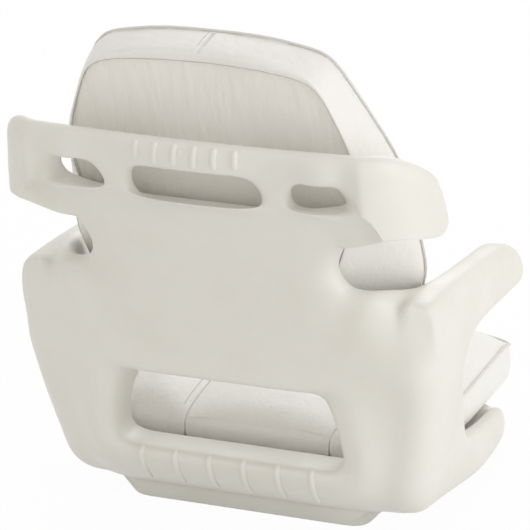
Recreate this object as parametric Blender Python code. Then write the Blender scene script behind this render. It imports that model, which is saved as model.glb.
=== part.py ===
"""Boat bucket seat: a moulded shell with arms and a grab rail, two cushions and their fixings.

Metres, +Z up. The origin is the middle of the plinth's underside, the sitter looks along -Y
and the sitter's left is +X. Each function below builds one kind of piece.
"""

import math

import bmesh
import bpy
from mathutils import Matrix, Vector

# Heights of the shell, each one standing on the one before
PLINTH_HEIGHT = 0.021
PAN_THICKNESS = 0.037
RIM_HEIGHT = 0.032
LOWER_BAR_HEIGHT = 0.092
LOWER_SLOT_HEIGHT = 0.108
LOWER_PANEL_HEIGHT = 0.136
ARM_HEIGHT = 0.092
NOTCH_HEIGHT = 0.095
WEB_HEIGHT = 0.055
HAND_SLOT_HEIGHT = 0.041
RAIL_HEIGHT = 0.042

# Widths of the shell, across the sitter
ARM_SPAN = 0.592
ARM_WIDTH = 0.050
FOOT_WIDTH = 0.502
FLARE_WIDTH = 0.550
RIM_WIDTH = 0.034
LOWER_SLOT_WIDTH = 0.300
NOTCH_DEPTH = 0.128
CENTRE_SLOT_WIDTH = 0.200
POST_WIDTH = 0.018
SIDE_SLOT_WIDTH = 0.100
BAND_SHOULDER = 0.011

# Depths of the shell, from the back to the front
BACK_FOOT_Y = 0.184
PANEL_THICKNESS = 0.060
BAND_STEP = 0.034
RAIL_THICKNESS = 0.036
ARM_TIP_Y = -0.158
PAN_FRONT_Y = -0.235
RIM_FRONT_Y = -0.186
WALL_FRONT_Y = 0.098

# The rail's ends, which wrap forward round the sitter
RAIL_STRAIGHT = 0.206
RAIL_BOW = 0.012
WING_RADIUS = 0.095
WING_RUN = 0.073
WING_THICKNESS = 0.036
WING_DROP = 0.049
WING_SPLAY = 0.007

# Roundings of the slots, the notch and the body's corners
RIM_ROLL = 0.018
SLOT_SPREAD = 0.014
NOTCH_DRAW = 0.006
RIM_FALL = 0.028
UNDER_FALL = 0.005
PAN_TAPER = 0.010
TIP_FLARE = 0.003
LIP_FALL = 0.024
CORNER_DROP = 0.022
FACET_DROP = 0.062
CORNER_FILL = 0.070
FLOOR_CORNER = 0.035
BAR_TUCK = 0.030
BAR_SET = 0.034
BAR_DIP = 0.013
LEDGE_RISE = 0.026
EDGE_RISE = 0.016
BAND_SLANT = 0.012
SLOT_TAPER = 0.016
ARM_FALL = 0.018
TIP_SET = 0.026
TIP_INNER_SET = 0.020
TIP_DROP = 0.026

# Plinth under the pan
PLINTH_WIDTH = 0.341
PLINTH_FRONT_Y = -0.150
PLINTH_REAR_Y = 0.166
PLINTH_SLOPE = 0.019
PLINTH_CORNER = 0.020
PLINTH_EDGE = 0.004
PLINTH_SINK = 0.010

# Grip ribs on the rail and on the bar under the lower slot
RIB_RADIUS = 0.0045
RIB_STAND = 0.0036
RAIL_RIB_PITCH = 0.027
BAR_RIB_PITCH = 0.049
RIB_REACH = 0.150

# Threaded inserts in the plinth
INSERT_SPACING = 0.140
INSERT_RADIUS = 0.0075
INSERT_BORE_RADIUS = 0.004
INSERT_LENGTH = 0.020
INSERT_CHAMFER = 0.0008

# Screws and washers that hold the seat cushion's board
SCREW_SPACING = 0.260
SCREW_FRONT_Y = -0.195
SCREW_REAR_Y = 0.060
SCREW_SEAT_Z = 0.036
SCREW_RADIUS = 0.0025
SCREW_HEAD_RADIUS = 0.0055
SCREW_HEAD_HEIGHT = 0.003
SCREW_BITE = 0.009
SCREW_SOCKET_RADIUS = 0.0018
SCREW_SOCKET_DEPTH = 0.0016
WASHER_RADIUS = 0.008
WASHER_THICKNESS = 0.0015
COUNTERBORE_RADIUS = 0.010

# Clearances and overruns
FIT_GAP = 0.0003
CUT_OVERRUN = 0.002
MERGE_GAP = 0.0001

# Seat cushion
SEAT_SIDE_GAP = 0.009
SEAT_WIDTH = ARM_SPAN - 2 * (ARM_WIDTH + SEAT_SIDE_GAP)
SEAT_REAR_TAPER = 0.045
SEAT_REAR_WIDTH = SEAT_WIDTH - 2 * SEAT_REAR_TAPER
SEAT_REAR_Y = 0.128
SEAT_FRONT_Y = -0.332
SEAT_FRONT_BOW = 0.046
BOARD_THICKNESS = 0.012
BOARD_REAR_INSET = 0.017
BOARD_FRONT_INSET = 0.032
BOARD_REAR_Y = 0.090
BOARD_FRONT_Y = -0.275
SEAT_REAR_SEAM_WIDTH = 0.212
SEAT_SEAM_WIDTH = 0.244
SEAT_REAR_RISE = 0.046
SEAT_FRONT_RISE = 0.058
SEAT_CROWN = 0.014
SEAT_ROLL = 0.008
BOLSTER_CROWN = 0.018
SEAT_BELLY = 0.010
PIPING_RADIUS = 0.0025
PIPING_SAG = 0.0002

# Back cushion, measured square to the back panel
BACK_GAP = 0.0009
BACK_BOTTOM = 0.226
BACK_HEIGHT = 0.492
BACK_SIDE_INSET = 0.027
BACK_FRONT_WIDTH = ARM_SPAN - 2 * BACK_SIDE_INSET
BACK_SIDE_TAPER = 0.047
BACK_REAR_WIDTH = BACK_FRONT_WIDTH - 2 * BACK_SIDE_TAPER
BACK_TOP_DEPTH = 0.062
BACK_SIDE_DEPTH = 0.086
BACK_FRONT_FALL = 0.004
BACK_CROWN = 0.020
BACK_CREST = 0.018
BACK_LIP = 0.006
BACK_PANEL_SET = 0.003
BACK_PANEL_CROWN = 0.002
BACK_PANEL_THICKNESS = 0.003
BACK_BOARD_THICKNESS = 0.009
BACK_BOARD_INSET = 0.012

# Leans and turns, which are ratios and angles and not lengths
RECLINE_SHARE = 0.306
WING_TURN = math.radians(69)
RAIL_RIB_TURNS = (math.radians(50), math.radians(-28))
BAR_RIB_TURNS = (math.radians(27), math.radians(-18))
SHARP_TURN = math.radians(35)

# Directions
ACROSS = Vector((1, 0, 0))
UPWARDS = Vector((0, 0, 1))
SQUARE_TO_BACK = Vector((0, math.cos(math.atan(RECLINE_SHARE)), -math.sin(math.atan(RECLINE_SHARE))))

# Counts
SHELL_LEVELS = 1
RIB_SIDES = 6
PIPING_SIDES = 8
TURN_SIDES = 12
RIB_STEPS = 5
PIPING_STEPS = 12
RIB_PLACES = (-2.5, -1.5, -0.5, 0.5, 1.5, 2.5)
BOARD_COLUMNS = 3
BOARD_LAYERS = 5
CENTRE_COLUMNS = 3
BOLSTER_COLUMNS = 3
POCKET_COLUMNS = 4
BACK_COLUMNS = 5
BACK_LAST_ROW = 9

# Shares of a radius, and of the cushions' own sizes
DOME_SHARE = 0.6
ROUND_SHARE = 0.5
SEAT_WIDE_SHARE = 0.42
SEAT_LAYER_SHARES = (0, 0.07, 0.20, 0.42, 0.62, 0.80, 0.93, 1.0)
SEAT_ROW_SHARES = (0, 0.5, 1.0)
BACK_ROW_SHARES = (0, 0.03, 0.26, 0.29, 0.42, 0.62, 0.74, 0.85, 0.99, 1.02)
BACK_REAR_SHARES = (0.62, 0.62, 0.62, 0.65, 0.76, 0.92, 0.895, 0.81, 0.725, 0.60)
BACK_CORNER_SHARE = 2.5
FILL_ACROSS_SHARES = (0, 0, 0, 0, 0, 0.08, 0.55, 1.0, 1.0, 1.0)
BACK_FRONT_SHARES = (0.82, 0.84, 0.91, 1.06, 0.985, 0.93, 0.83, 0.73, 0.64, 0.57)
BACK_THIN_SHARES = (0, 0, 0, 0, 0, 0.2, 0.5, 0.8, 1.0, 1.0)

# Numbers of the shell's lattice: columns outwards, rows upwards, layers forwards
(MIDDLE, THIRD, CENTRE_END, SIDE_START, SLOT_END, SLOT_RIM, SIDE_END,
 WALL_IN, WALL_MID, WALL_OUT, WING_MID, WING_TIP) = range(12)
(FOOT, FLOOR, RIM, SLOT, SLOT_MID, SLOT_TOP, BROW, ARM_UNDER,
 LEDGE, NOTCH_MID, NOTCH_TOP, WEB, LIP, RAIL_UNDER, RAIL_TOP) = range(15)
REAR, INSIDE, WALL_EDGE, ARM_MID, ARM_FORE, TIP, FRONT = range(7)


def mix(start, end, share):
    """Value or point at a share of the way from start to end."""
    return start + (end - start) * share


FOOT_Z = PLINTH_HEIGHT
FLOOR_Z = FOOT_Z + PAN_THICKNESS
RIM_Z = FLOOR_Z + RIM_HEIGHT
SLOT_Z = FOOT_Z + LOWER_BAR_HEIGHT
SLOT_TOP_Z = SLOT_Z + LOWER_SLOT_HEIGHT
LEDGE_Z = SLOT_TOP_Z + LOWER_PANEL_HEIGHT
ARM_UNDER_Z = LEDGE_Z - ARM_HEIGHT
NOTCH_TOP_Z = LEDGE_Z + NOTCH_HEIGHT
LIP_Z = NOTCH_TOP_Z + WEB_HEIGHT
RAIL_UNDER_Z = LIP_Z + HAND_SLOT_HEIGHT
RAIL_TOP_Z = RAIL_UNDER_Z + RAIL_HEIGHT
BROW_SHARE = 0.38
WEB_SHARE = 0.6
ROW_Z = (FOOT_Z, FLOOR_Z, RIM_Z, SLOT_Z, mix(SLOT_Z, SLOT_TOP_Z, 0.5), SLOT_TOP_Z,
         mix(SLOT_TOP_Z, ARM_UNDER_Z, BROW_SHARE), ARM_UNDER_Z,
         LEDGE_Z, mix(LEDGE_Z, NOTCH_TOP_Z, 0.5), NOTCH_TOP_Z,
         mix(NOTCH_TOP_Z, LIP_Z, WEB_SHARE), LIP_Z, RAIL_UNDER_Z, RAIL_TOP_Z)


def back_plane(z):
    """Depth of the back panel's flat rear face at a height."""
    return BACK_FOOT_Y + RECLINE_SHARE * z


# Half widths along the upper rows, measured along the rail
CENTRE_HALF = CENTRE_SLOT_WIDTH / 2
SIDE_HALF = CENTRE_HALF + POST_WIDTH
SIDE_END_HALF = SIDE_HALF + SIDE_SLOT_WIDTH
BOW_ANGLE = math.atan(2 * RAIL_BOW / RAIL_STRAIGHT)
WING_ARC = WING_RADIUS * (WING_TURN - BOW_ANGLE)
WING_END = RAIL_STRAIGHT + WING_ARC + WING_RUN


def rail_path(along):
    """Half width, forward drop and turn of the rail's rear face at a distance along it."""
    if along <= RAIL_STRAIGHT:
        share = along / RAIL_STRAIGHT
        return along, RAIL_BOW * share ** 2, BOW_ANGLE * share
    arc = min(along - RAIL_STRAIGHT, WING_ARC)
    run = along - RAIL_STRAIGHT - arc
    turn = BOW_ANGLE + arc / WING_RADIUS
    half = RAIL_STRAIGHT + WING_RADIUS * (math.sin(turn) - math.sin(BOW_ANGLE)) + run * math.cos(turn)
    drop = RAIL_BOW + WING_RADIUS * (math.cos(BOW_ANGLE) - math.cos(turn)) + run * math.sin(turn)
    return half, drop, turn


# Shares row by row, from the foot to the ledge
TAPER_SHARES = (0, 0.30, 0.40, 0.52, 0.76, 0.92, 0.97, 1.0, 1.0)
FLARE_SHARES = (0, 0.30, 0.30, 0.34, 0.60, 0.84, 0.92, 1.0, 1.0)
LOWER_SLOT_SHARES = (1.0, 1.0, 1.0, 1.04, 1.01, 0.93, 1.0, 1.0, 1.0)
SLOT_INNER_SHARES = (1.0, 1.0, 0.95, 0.84, 0.76, 0.70, 0.95, 1.0, 1.0)
FILL_SHARES = (0.5, 0.5, 0.6, 0.6, 0.6, 0.6, 0.6, 0.9, 1.0)
WALL_EDGE_SHARES = (-0.10, 0.0, 0.25, 0.46, 0.78, 1.0, 1.08, 0.70, 0.70)
ROLL_SHARES = (0, 0, 0, 1.0, 0.8, 1.0, 0, 0, 0.5, 0.6, 0.4, 0, 0.3, 0.5, 0)
# Shares column by column
INNER_SHARES = (0, 0.28, 0.54, 0.76)
FACET_SHARES = (0.04, 0.16, 0.48, 0.70, 0.76)
PAN_LAYER_SHARES = (0, 0.34, 0.70, 1.0)
ARM_LAYER_SHARES = (0, 0.42, 0.86, 1.0)
SPLAY_SHARES = (0.8, 0.6, 0.4, -0.1, -0.5)
SLANT_SHARES = (1.0, 0.7, -0.3, 0, 0)
EDGE_RISE_SHARES = (0, 0, 0, 0, -0.2, 0.1, 0.4, 0.9, 1.3, 1.3, 0.8, 0)
LIP_SHARES = (1.0, 1.0, 1.0, 0.5, 0.25, 0, -0.25)
LEDGE_SHARES = (1.0, 1.0, 1.0, 1.0, 1.0, 1.0, 0.9, 0.5, 0.2, 0.12)
SET_SHARES = (0.2, 0.65, 0.95, 1.0, 0.9, 0.75, 0.5, 0.25, 0)
SET_ACROSS_SHARES = (1.0, 1.0, 1.0, 1.0, 1.0, 0.8, 0.4, 0, 0, 0)
NOTCH_INNER_SHARE = 0.80
WING_DROP_POWER = 4
WING_UNDER_SHARE = 0.4
LEDGE_NOTCH_SHARE = 0.86
NOTCH_TOP_SHARE = 0.84
WING_CREASE_SHARE = 0.6
BAND_CREASE_SHARE = 0.6
SHOULDER_CREASE_SHARE = 0.5
RIM_CREASE_SHARE = 0.5


def body_column(column, row, layer):
    """Half width of a lattice point of the lower body."""
    if layer <= INSIDE:
        outer = mix(FOOT_WIDTH / 2, ARM_SPAN / 2, TAPER_SHARES[row])
    else:
        outer = mix(FLARE_WIDTH / 2, ARM_SPAN / 2, FLARE_SHARES[row])
    wall = RIM_WIDTH if layer >= ARM_MID and row <= RIM else ARM_WIDTH
    if row >= ARM_UNDER and layer >= ARM_FORE:
        outer += TIP_FLARE
        wall += 3 * TIP_FLARE
    end = LOWER_SLOT_WIDTH / 2 * LOWER_SLOT_SHARES[row]
    if row == LEDGE:
        end = ARM_SPAN / 2 - LEDGE_NOTCH_SHARE * NOTCH_DEPTH
    rim = end + 2 * SLOT_SPREAD
    if layer == INSIDE:
        end = end * SLOT_INNER_SHARES[row] - (NOTCH_DRAW if row == LEDGE else 0)
    if column >= WALL_IN:
        return outer - wall * (WALL_OUT - column) / 2
    if column == SIDE_END:
        return mix(rim, outer - wall, 0.5)
    return (0, end * INNER_SHARES[1], end * INNER_SHARES[2], end * INNER_SHARES[3], end, rim)[column]


def upper_column(column, row, layer):
    """Distance along the rail of a lattice point above the ledge."""
    if column >= WALL_IN:
        slant = BAND_SLANT * SLANT_SHARES[row - NOTCH_TOP]
        return (SIDE_END_HALF + BAND_SHOULDER + slant, SIDE_END_HALF + 2 * BAND_SHOULDER + slant,
                RAIL_STRAIGHT + WING_ARC * 0.66, RAIL_STRAIGHT + WING_ARC, WING_END)[column - WALL_IN]
    if row <= WEB:
        depth = NOTCH_DEPTH * (1 if row == NOTCH_MID else NOTCH_TOP_SHARE)
        end = ARM_SPAN / 2 - depth - (NOTCH_DRAW if layer == INSIDE else 0)
        stations = [end * share for share in INNER_SHARES[:-1] + (NOTCH_INNER_SHARE,)]
        return (stations + [end, mix(end, SIDE_END_HALF, 0.5), SIDE_END_HALF])[column]
    slant = 0 if row == LIP else SLOT_SPREAD
    centre_end = CENTRE_HALF - slant + SLOT_SPREAD / 3
    side_start = SIDE_HALF + 2 * slant - SLOT_SPREAD / 3
    side_end = SIDE_END_HALF - slant + SLOT_SPREAD / 3
    if layer == INSIDE:
        centre_end = CENTRE_HALF - SLOT_TAPER
        side_start = SIDE_HALF + SLOT_TAPER
        side_end = SIDE_END_HALF - 2 * SLOT_TAPER
    return (0, centre_end / 2, centre_end, side_start, mix(side_start, side_end, 0.35),
            mix(side_start, side_end, 0.7), side_end)[column]


def rolled(column, row):
    """How far a rear rim point is drawn in, as a share of the rim roll."""
    if row in (LEDGE, NOTCH_MID, NOTCH_TOP):
        return ROLL_SHARES[row] if column == SLOT_END else 0
    if row < LEDGE:
        return ROLL_SHARES[row] if column == SLOT_END else ROLL_SHARES[row] / 3 if column < SLOT_END else 0
    return ROLL_SHARES[row] if column in (CENTRE_END, SIDE_START, SIDE_END) else 0


def upper_point(column, row, layer):
    """Place of a lattice point above the ledge, on the panel, web, rail or wing."""
    along = upper_column(column, row, layer)
    half, drop, turn = rail_path(along)
    past = max(0, along - RAIL_STRAIGHT) / (WING_END - RAIL_STRAIGHT)
    z = ROW_Z[row]
    if past > 0:
        half += WING_SPLAY * SPLAY_SHARES[row - NOTCH_TOP] * min(1, 2 * past)
    if row >= RAIL_UNDER:
        z -= WING_DROP * past ** WING_DROP_POWER * (1.0 if row == RAIL_TOP else WING_UNDER_SHARE)
    if row == NOTCH_TOP:
        z += EDGE_RISE * EDGE_RISE_SHARES[column]
    if row == RAIL_UNDER:
        z -= UNDER_FALL * min(1, along / SIDE_END_HALF)
    on_band = row >= LIP or column >= WALL_MID
    rear = back_plane(z) + (BAND_STEP if on_band else 0)
    if row >= RAIL_UNDER:
        rear = mix(back_plane(RAIL_UNDER_Z) + BAND_STEP, rear, min(1, 2 * past))
    if not on_band and row < WEB:
        drop = 0
    point = Vector((half, rear - drop, z))
    if layer == REAR:
        return point - Vector((0, RIM_ROLL * rolled(column, row), 0))
    if not on_band:
        return Vector((half, back_plane(z) - PANEL_THICKNESS, z))
    if row == LIP and column < WALL_IN:
        return point - Vector((0, PANEL_THICKNESS, LIP_FALL * LIP_SHARES[column]))
    inward = Vector((-math.sin(turn), -math.cos(turn), 0))
    return point + inward * (RAIL_THICKNESS if column < WALL_OUT else WING_THICKNESS)


def rear_point(column, row, half):
    """Place of a lattice point on the body's rear face."""
    z = ROW_Z[row] + (LEDGE_RISE * LEDGE_SHARES[column] if row == LEDGE else 0)
    rear = back_plane(z) - (BAR_TUCK if row == FOOT else 0) - RIM_ROLL * rolled(column, row)
    rear += BAR_SET * SET_SHARES[row] * SET_ACROSS_SHARES[column]
    if row == LEDGE and column >= SLOT_RIM:
        rear -= FACET_DROP * FACET_SHARES[column - SLOT_RIM]
    elif column == WALL_OUT:
        rear -= CORNER_DROP
    return Vector((half, rear, z))


def arm_point(column, row, layer, half):
    """Place of a lattice point on the arm, forward of the wall's front edge."""
    share = ARM_LAYER_SHARES[layer - WALL_EDGE]
    y = mix(WALL_FRONT_Y * WALL_EDGE_SHARES[row], ARM_TIP_Y, share)
    if column == WALL_IN:
        y += TIP_INNER_SET * share ** 2
    z = ROW_Z[row]
    if row == LEDGE:
        y += TIP_SET * share ** 2
        z -= ARM_FALL * share + (TIP_DROP if layer == TIP else 0)
    return Vector((half, y, z))


def body_point(column, row, layer):
    """Place of a lattice point of the panel, walls, arms or pan."""
    half = body_column(column, row, layer)
    z = ROW_Z[row]
    if layer == REAR:
        return rear_point(column, row, half)
    if layer == INSIDE:
        z += LEDGE_RISE * LEDGE_SHARES[column] if row == LEDGE else 0
        front = back_plane(z) - PANEL_THICKNESS - CORNER_FILL * FILL_SHARES[row] * FILL_ACROSS_SHARES[column]
        if row == SLOT and column <= SLOT_END:
            z -= BAR_DIP
        return Vector((half, front, z))
    if row >= ARM_UNDER:
        return arm_point(column, row, layer, half)
    if layer == FRONT:
        bow = (half / (FLARE_WIDTH / 2)) ** 4
        return Vector((half, mix(PAN_FRONT_Y, RIM_FRONT_Y, bow), z))
    start = WALL_FRONT_Y * WALL_EDGE_SHARES[row]
    if column < WALL_IN:
        fill = CORNER_FILL * FILL_SHARES[row] * FILL_ACROSS_SHARES[column]
        start = back_plane(z) - PANEL_THICKNESS - fill - FLOOR_CORNER
    y = mix(start, RIM_FRONT_Y, PAN_LAYER_SHARES[layer - WALL_EDGE])
    if layer == TIP and column == WALL_OUT:
        y += CORNER_DROP
    if row == RIM:
        z -= RIM_FALL * PAN_LAYER_SHARES[layer - WALL_EDGE]
        if layer >= ARM_MID and column == WALL_OUT:
            half -= SLOT_SPREAD
    if column >= WALL_IN:
        half -= PAN_TAPER * PAN_LAYER_SHARES[layer - WALL_EDGE] ** 2
    return Vector((half, y, z))


def shell_cells():
    """The filled cells of the lattice, as (column, layer, row)."""
    cells = set()
    for row in range(RAIL_TOP):
        last = WING_TIP if row >= NOTCH_TOP else SLOT_END if row >= LEDGE else WALL_OUT
        for column in range(last):
            in_lower_slot = row in (SLOT, SLOT_MID) and column < SLOT_END
            in_hand_slot = row == LIP and (column < CENTRE_END or SIDE_START <= column < SIDE_END)
            if not in_lower_slot and not in_hand_slot:
                cells.add((column, REAR, row))
    for column in (WALL_IN, WALL_MID):
        for row in range(FOOT, LEDGE):
            cells.add((column, INSIDE, row))
        for layer in range(WALL_EDGE, TIP):
            cells.add((column, layer, ARM_UNDER))
            cells.add((column, layer, FLOOR))
    for column in range(WALL_OUT):
        for layer in range(INSIDE, TIP):
            cells.add((column, layer, FOOT))
    for column in range(WALL_IN):
        cells.add((column, TIP, FOOT))
    return cells


# A cell's six faces, each as the neighbour's step and the four corners seen from outside
CELL_FACES = (
    ((1, 0, 0), ((1, 0, 0), (1, 0, 1), (1, 1, 1), (1, 1, 0))),
    ((-1, 0, 0), ((0, 0, 0), (0, 1, 0), (0, 1, 1), (0, 0, 1))),
    ((0, 1, 0), ((0, 1, 0), (1, 1, 0), (1, 1, 1), (0, 1, 1))),
    ((0, -1, 0), ((0, 0, 0), (0, 0, 1), (1, 0, 1), (1, 0, 0))),
    ((0, 0, 1), ((0, 0, 1), (0, 1, 1), (1, 1, 1), (1, 0, 1))),
    ((0, 0, -1), ((0, 0, 0), (1, 0, 0), (1, 1, 0), (0, 1, 0))),
)


def shell_point(column, layer, row):
    """Place of a lattice point of the shell."""
    place = upper_point if row > LEDGE else body_point
    return place(column, row, layer)


def shell_crease(start, end):
    """How crisp the shell's edge between two lattice points stays."""
    columns = sorted((start[0], end[0]))
    rows = sorted((start[2], end[2]))
    if rows == [LEDGE, LEDGE] and start[1] == end[1] == TIP:
        return SHOULDER_CREASE_SHARE
    if start[1] != REAR or end[1] != REAR:
        return 0
    if rows == [NOTCH_TOP, NOTCH_TOP] and columns[0] >= SLOT_END:
        return WING_CREASE_SHARE
    if columns == [SLOT_END, SLOT_END] and rows[0] >= SLOT and rows[1] <= SLOT_TOP:
        return RIM_CREASE_SHARE
    if rows[0] >= LIP and rows[1] <= RAIL_UNDER:
        on_end = rows[0] < rows[1] and columns[0] in (CENTRE_END, SIDE_START, SIDE_END)
        if on_end and columns[0] == columns[1]:
            return RIM_CREASE_SHARE
        beside = columns[1] <= CENTRE_END or (SIDE_START <= columns[0] and columns[1] <= SIDE_END)
        if rows[0] == rows[1] and beside:
            return RIM_CREASE_SHARE
    if rows == [LIP, LIP] and SIDE_END <= columns[0] and columns[1] <= WALL_MID:
        return BAND_CREASE_SHARE
    if columns == [WALL_MID, WALL_MID] and rows[0] >= NOTCH_TOP and rows[1] <= LIP:
        return BAND_CREASE_SHARE
    if rows == [LEDGE, LEDGE] and columns[0] >= SLOT_RIM:
        return SHOULDER_CREASE_SHARE
    if columns == [WALL_OUT, WALL_OUT] and rows == [ARM_UNDER, LEDGE]:
        return SHOULDER_CREASE_SHARE
    return 0


def lattice_cage(cells, place, crease=None, half=True):
    """Coarse cage of quads round lattice cells; a half cage is open on the middle plane."""
    cage = bmesh.new()
    corners = {}

    def corner(key):
        if key not in corners:
            corners[key] = cage.verts.new(place(*key))
        return corners[key]

    for cell in sorted(cells):
        for step, face in CELL_FACES:
            neighbour = tuple(a + b for a, b in zip(cell, step))
            if neighbour in cells or (half and neighbour[0] < MIDDLE):
                continue
            cage.faces.new([corner(tuple(a + b for a, b in zip(cell, offset))) for offset in face])
    if crease:
        keys = {vert: key for key, vert in corners.items()}
        layer = cage.edges.layers.float.new("crease_edge")
        for edge in cage.edges:
            edge[layer] = crease(*(keys[vert] for vert in edge.verts))
    return cage


def remove_startup_objects():
    """Empty the scene that the file opened with."""
    for item in list(bpy.data.objects):
        bpy.data.objects.remove(item, do_unlink=True)


def finish(name, shape, material):
    """Turn a bmesh into a named, smooth object with its material."""
    mesh = bpy.data.meshes.new(name)
    shape.to_mesh(mesh)
    shape.free()
    mesh.materials.append(material)
    item = bpy.data.objects.new(name, mesh)
    bpy.context.collection.objects.link(item)
    mesh.shade_smooth()
    return item


def paint(name, colour, roughness, metallic=0.0):
    """A plain material."""
    material = bpy.data.materials.new(name)
    material.use_nodes = True
    shader = material.node_tree.nodes["Principled BSDF"]
    shader.inputs["Base Color"].default_value = (*colour, 1.0)
    shader.inputs["Roughness"].default_value = roughness
    shader.inputs["Metallic"].default_value = metallic
    return material


def smooth_over(item, levels=1):
    """Round an object's coarse cage."""
    smooth = item.modifiers.new("rounding", "SUBSURF")
    smooth.levels = levels
    smooth.render_levels = levels


def mirror_over(item):
    """Add the other half of an object that is open on the middle plane."""
    mirror = item.modifiers.new("other half", "MIRROR")
    mirror.merge_threshold = MERGE_GAP


def cut_or_join(item, shape, name, operation):
    """Cut a tool shape out of an object, or join it on."""
    tool = finish(name, shape, item.data.materials[0])
    tool.hide_render = True
    tool.display_type = "WIRE"
    boolean = item.modifiers.new(name, "BOOLEAN")
    boolean.operation = operation
    boolean.object = tool
    boolean.solver = "EXACT"


def tube(shape, path, radius, sides, across, loop=False):
    """Add a round tube along a path that never runs along the direction across."""
    reach = list(path)
    if not loop:
        start = (path[0] - path[1]).normalized() * radius * DOME_SHARE
        end = (path[-1] - path[-2]).normalized() * radius * DOME_SHARE
        reach = [path[0] + start] + reach + [path[-1] + end]
    rings = []
    for number, point in enumerate(reach):
        before = reach[number - 1] if loop else reach[max(0, number - 1)]
        after = reach[(number + 1) % len(reach)] if loop else reach[min(len(reach) - 1, number + 1)]
        along = (after - before).normalized()
        side = along.cross(across).normalized()
        other = along.cross(side)
        size = radius if loop or 0 < number < len(reach) - 1 else radius * DOME_SHARE
        ring = []
        for step in range(sides):
            angle = 2 * math.pi * step / sides
            ring.append(shape.verts.new(point + (side * math.cos(angle) + other * math.sin(angle)) * size))
        rings.append(ring)
    for first, second in zip(rings, rings[1:] + (rings[:1] if loop else [])):
        for step in range(sides):
            after = (step + 1) % sides
            shape.faces.new((first[step], first[after], second[after], second[step]))
    if not loop:
        shape.faces.new(reversed(rings[0]))
        shape.faces.new(rings[-1])


def drum(shape, radius, start, end):
    """Add an upright cylinder between two points."""
    middle = Matrix.Translation((start + end) / 2)
    bmesh.ops.create_cone(shape, cap_ends=True, segments=TURN_SIDES, radius1=radius, radius2=radius,
                          depth=(end - start).length, matrix=middle)


def turned(name, profile, place, material):
    """A round piece spun about an upright axis from its profile of radii and heights."""
    shape = bmesh.new()
    points = [shape.verts.new((radius, 0, height)) for radius, height in profile]
    closed = profile[0][0] > 0
    edges = [shape.edges.new(pair) for pair in zip(points, points[1:] + (points[:1] if closed else []))
             if pair[0] is not pair[1]]
    bmesh.ops.spin(shape, geom=points + edges, axis=(0, 0, 1), angle=2 * math.pi, steps=TURN_SIDES,
                   use_merge=True)
    bmesh.ops.remove_doubles(shape, verts=shape.verts, dist=MERGE_GAP)
    bmesh.ops.recalc_face_normals(shape, faces=shape.faces)
    item = finish(name, shape, material)
    item.data.set_sharp_from_angle(angle=SHARP_TURN)
    item.location = place
    return item


def surface_path(item, centre, turns):
    """Points on an object's surface, met from outside along turns about a centre line."""
    bpy.context.view_layer.update()
    solid = item.evaluated_get(bpy.context.evaluated_depsgraph_get())
    path = []
    for step in range(RIB_STEPS + 1):
        turn = mix(turns[0], turns[1], step / RIB_STEPS)
        outward = Vector((0, math.cos(turn), math.sin(turn)))
        met, place, normal, _ = solid.ray_cast(centre + outward * RIB_REACH, -outward)
        if met:
            path.append(place - normal * (RIB_RADIUS - RIB_STAND))
    return path


def plinth_shape():
    """The sloping block under the pan, wider at its top than at its foot."""
    shape = bmesh.new()
    bmesh.ops.create_cube(shape, size=1)
    height = FOOT_Z + PLINTH_SINK
    spread = PLINTH_SLOPE * height / PLINTH_HEIGHT
    for vert in shape.verts:
        top = vert.co.z > 0
        half = PLINTH_WIDTH / 2 + (spread if top else 0)
        front = PLINTH_FRONT_Y - (spread if top else 0)
        vert.co = (math.copysign(half, vert.co.x), PLINTH_REAR_Y if vert.co.y > 0 else front,
                   height if top else 0)
    uprights = [edge for edge in shape.edges if abs(edge.verts[0].co.z - edge.verts[1].co.z) > PLINTH_SINK]
    bmesh.ops.bevel(shape, geom=uprights, offset=PLINTH_CORNER, segments=4, profile=ROUND_SHARE,
                    affect="EDGES")
    foot = [edge for edge in shape.edges if max(vert.co.z for vert in edge.verts) < PLINTH_EDGE]
    bmesh.ops.bevel(shape, geom=foot, offset=PLINTH_EDGE, segments=2, profile=ROUND_SHARE, affect="EDGES")
    return shape


def rib_shapes(shell):
    """The grip ribs, laid along the shell's own surface."""
    shape = bmesh.new()
    for number in RIB_PLACES:
        x = RAIL_RIB_PITCH * number
        drop = rail_path(abs(x))[1]
        centre = Vector((x, back_plane(RAIL_UNDER_Z) + BAND_STEP - RAIL_THICKNESS / 2 - drop,
                         mix(RAIL_UNDER_Z, RAIL_TOP_Z, 0.5)))
        tube(shape, surface_path(shell, centre, RAIL_RIB_TURNS), RIB_RADIUS, RIB_SIDES, ACROSS)
        x = BAR_RIB_PITCH * number
        centre = Vector((x, back_plane(FOOT_Z) + BAR_SET - PANEL_THICKNESS, mix(FOOT_Z, SLOT_Z, 0.5)))
        tube(shape, surface_path(shell, centre, BAR_RIB_TURNS), RIB_RADIUS, RIB_SIDES, ACROSS)
    return shape


def insert_places():
    """Where the inserts stand in the plinth's underside."""
    half = INSERT_SPACING / 2
    return {"rear_left": (half, half), "rear_right": (-half, half),
            "front_left": (half, -half), "front_right": (-half, -half)}


def screw_places():
    """Where the seat board's screws stand."""
    half = SCREW_SPACING / 2
    return {"rear_left": (half, SCREW_REAR_Y), "rear_right": (-half, SCREW_REAR_Y),
            "front_left": (half, SCREW_FRONT_Y), "front_right": (-half, SCREW_FRONT_Y)}


def shell_bores():
    """Holes in the shell for the inserts and the screws."""
    shape = bmesh.new()
    for x, y in insert_places().values():
        drum(shape, INSERT_RADIUS + FIT_GAP, Vector((x, y, -CUT_OVERRUN)),
             Vector((x, y, INSERT_LENGTH + 2 * FIT_GAP)))
    for x, y in screw_places().values():
        drum(shape, COUNTERBORE_RADIUS, Vector((x, y, -CUT_OVERRUN)), Vector((x, y, SCREW_SEAT_Z)))
    return shape


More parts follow.
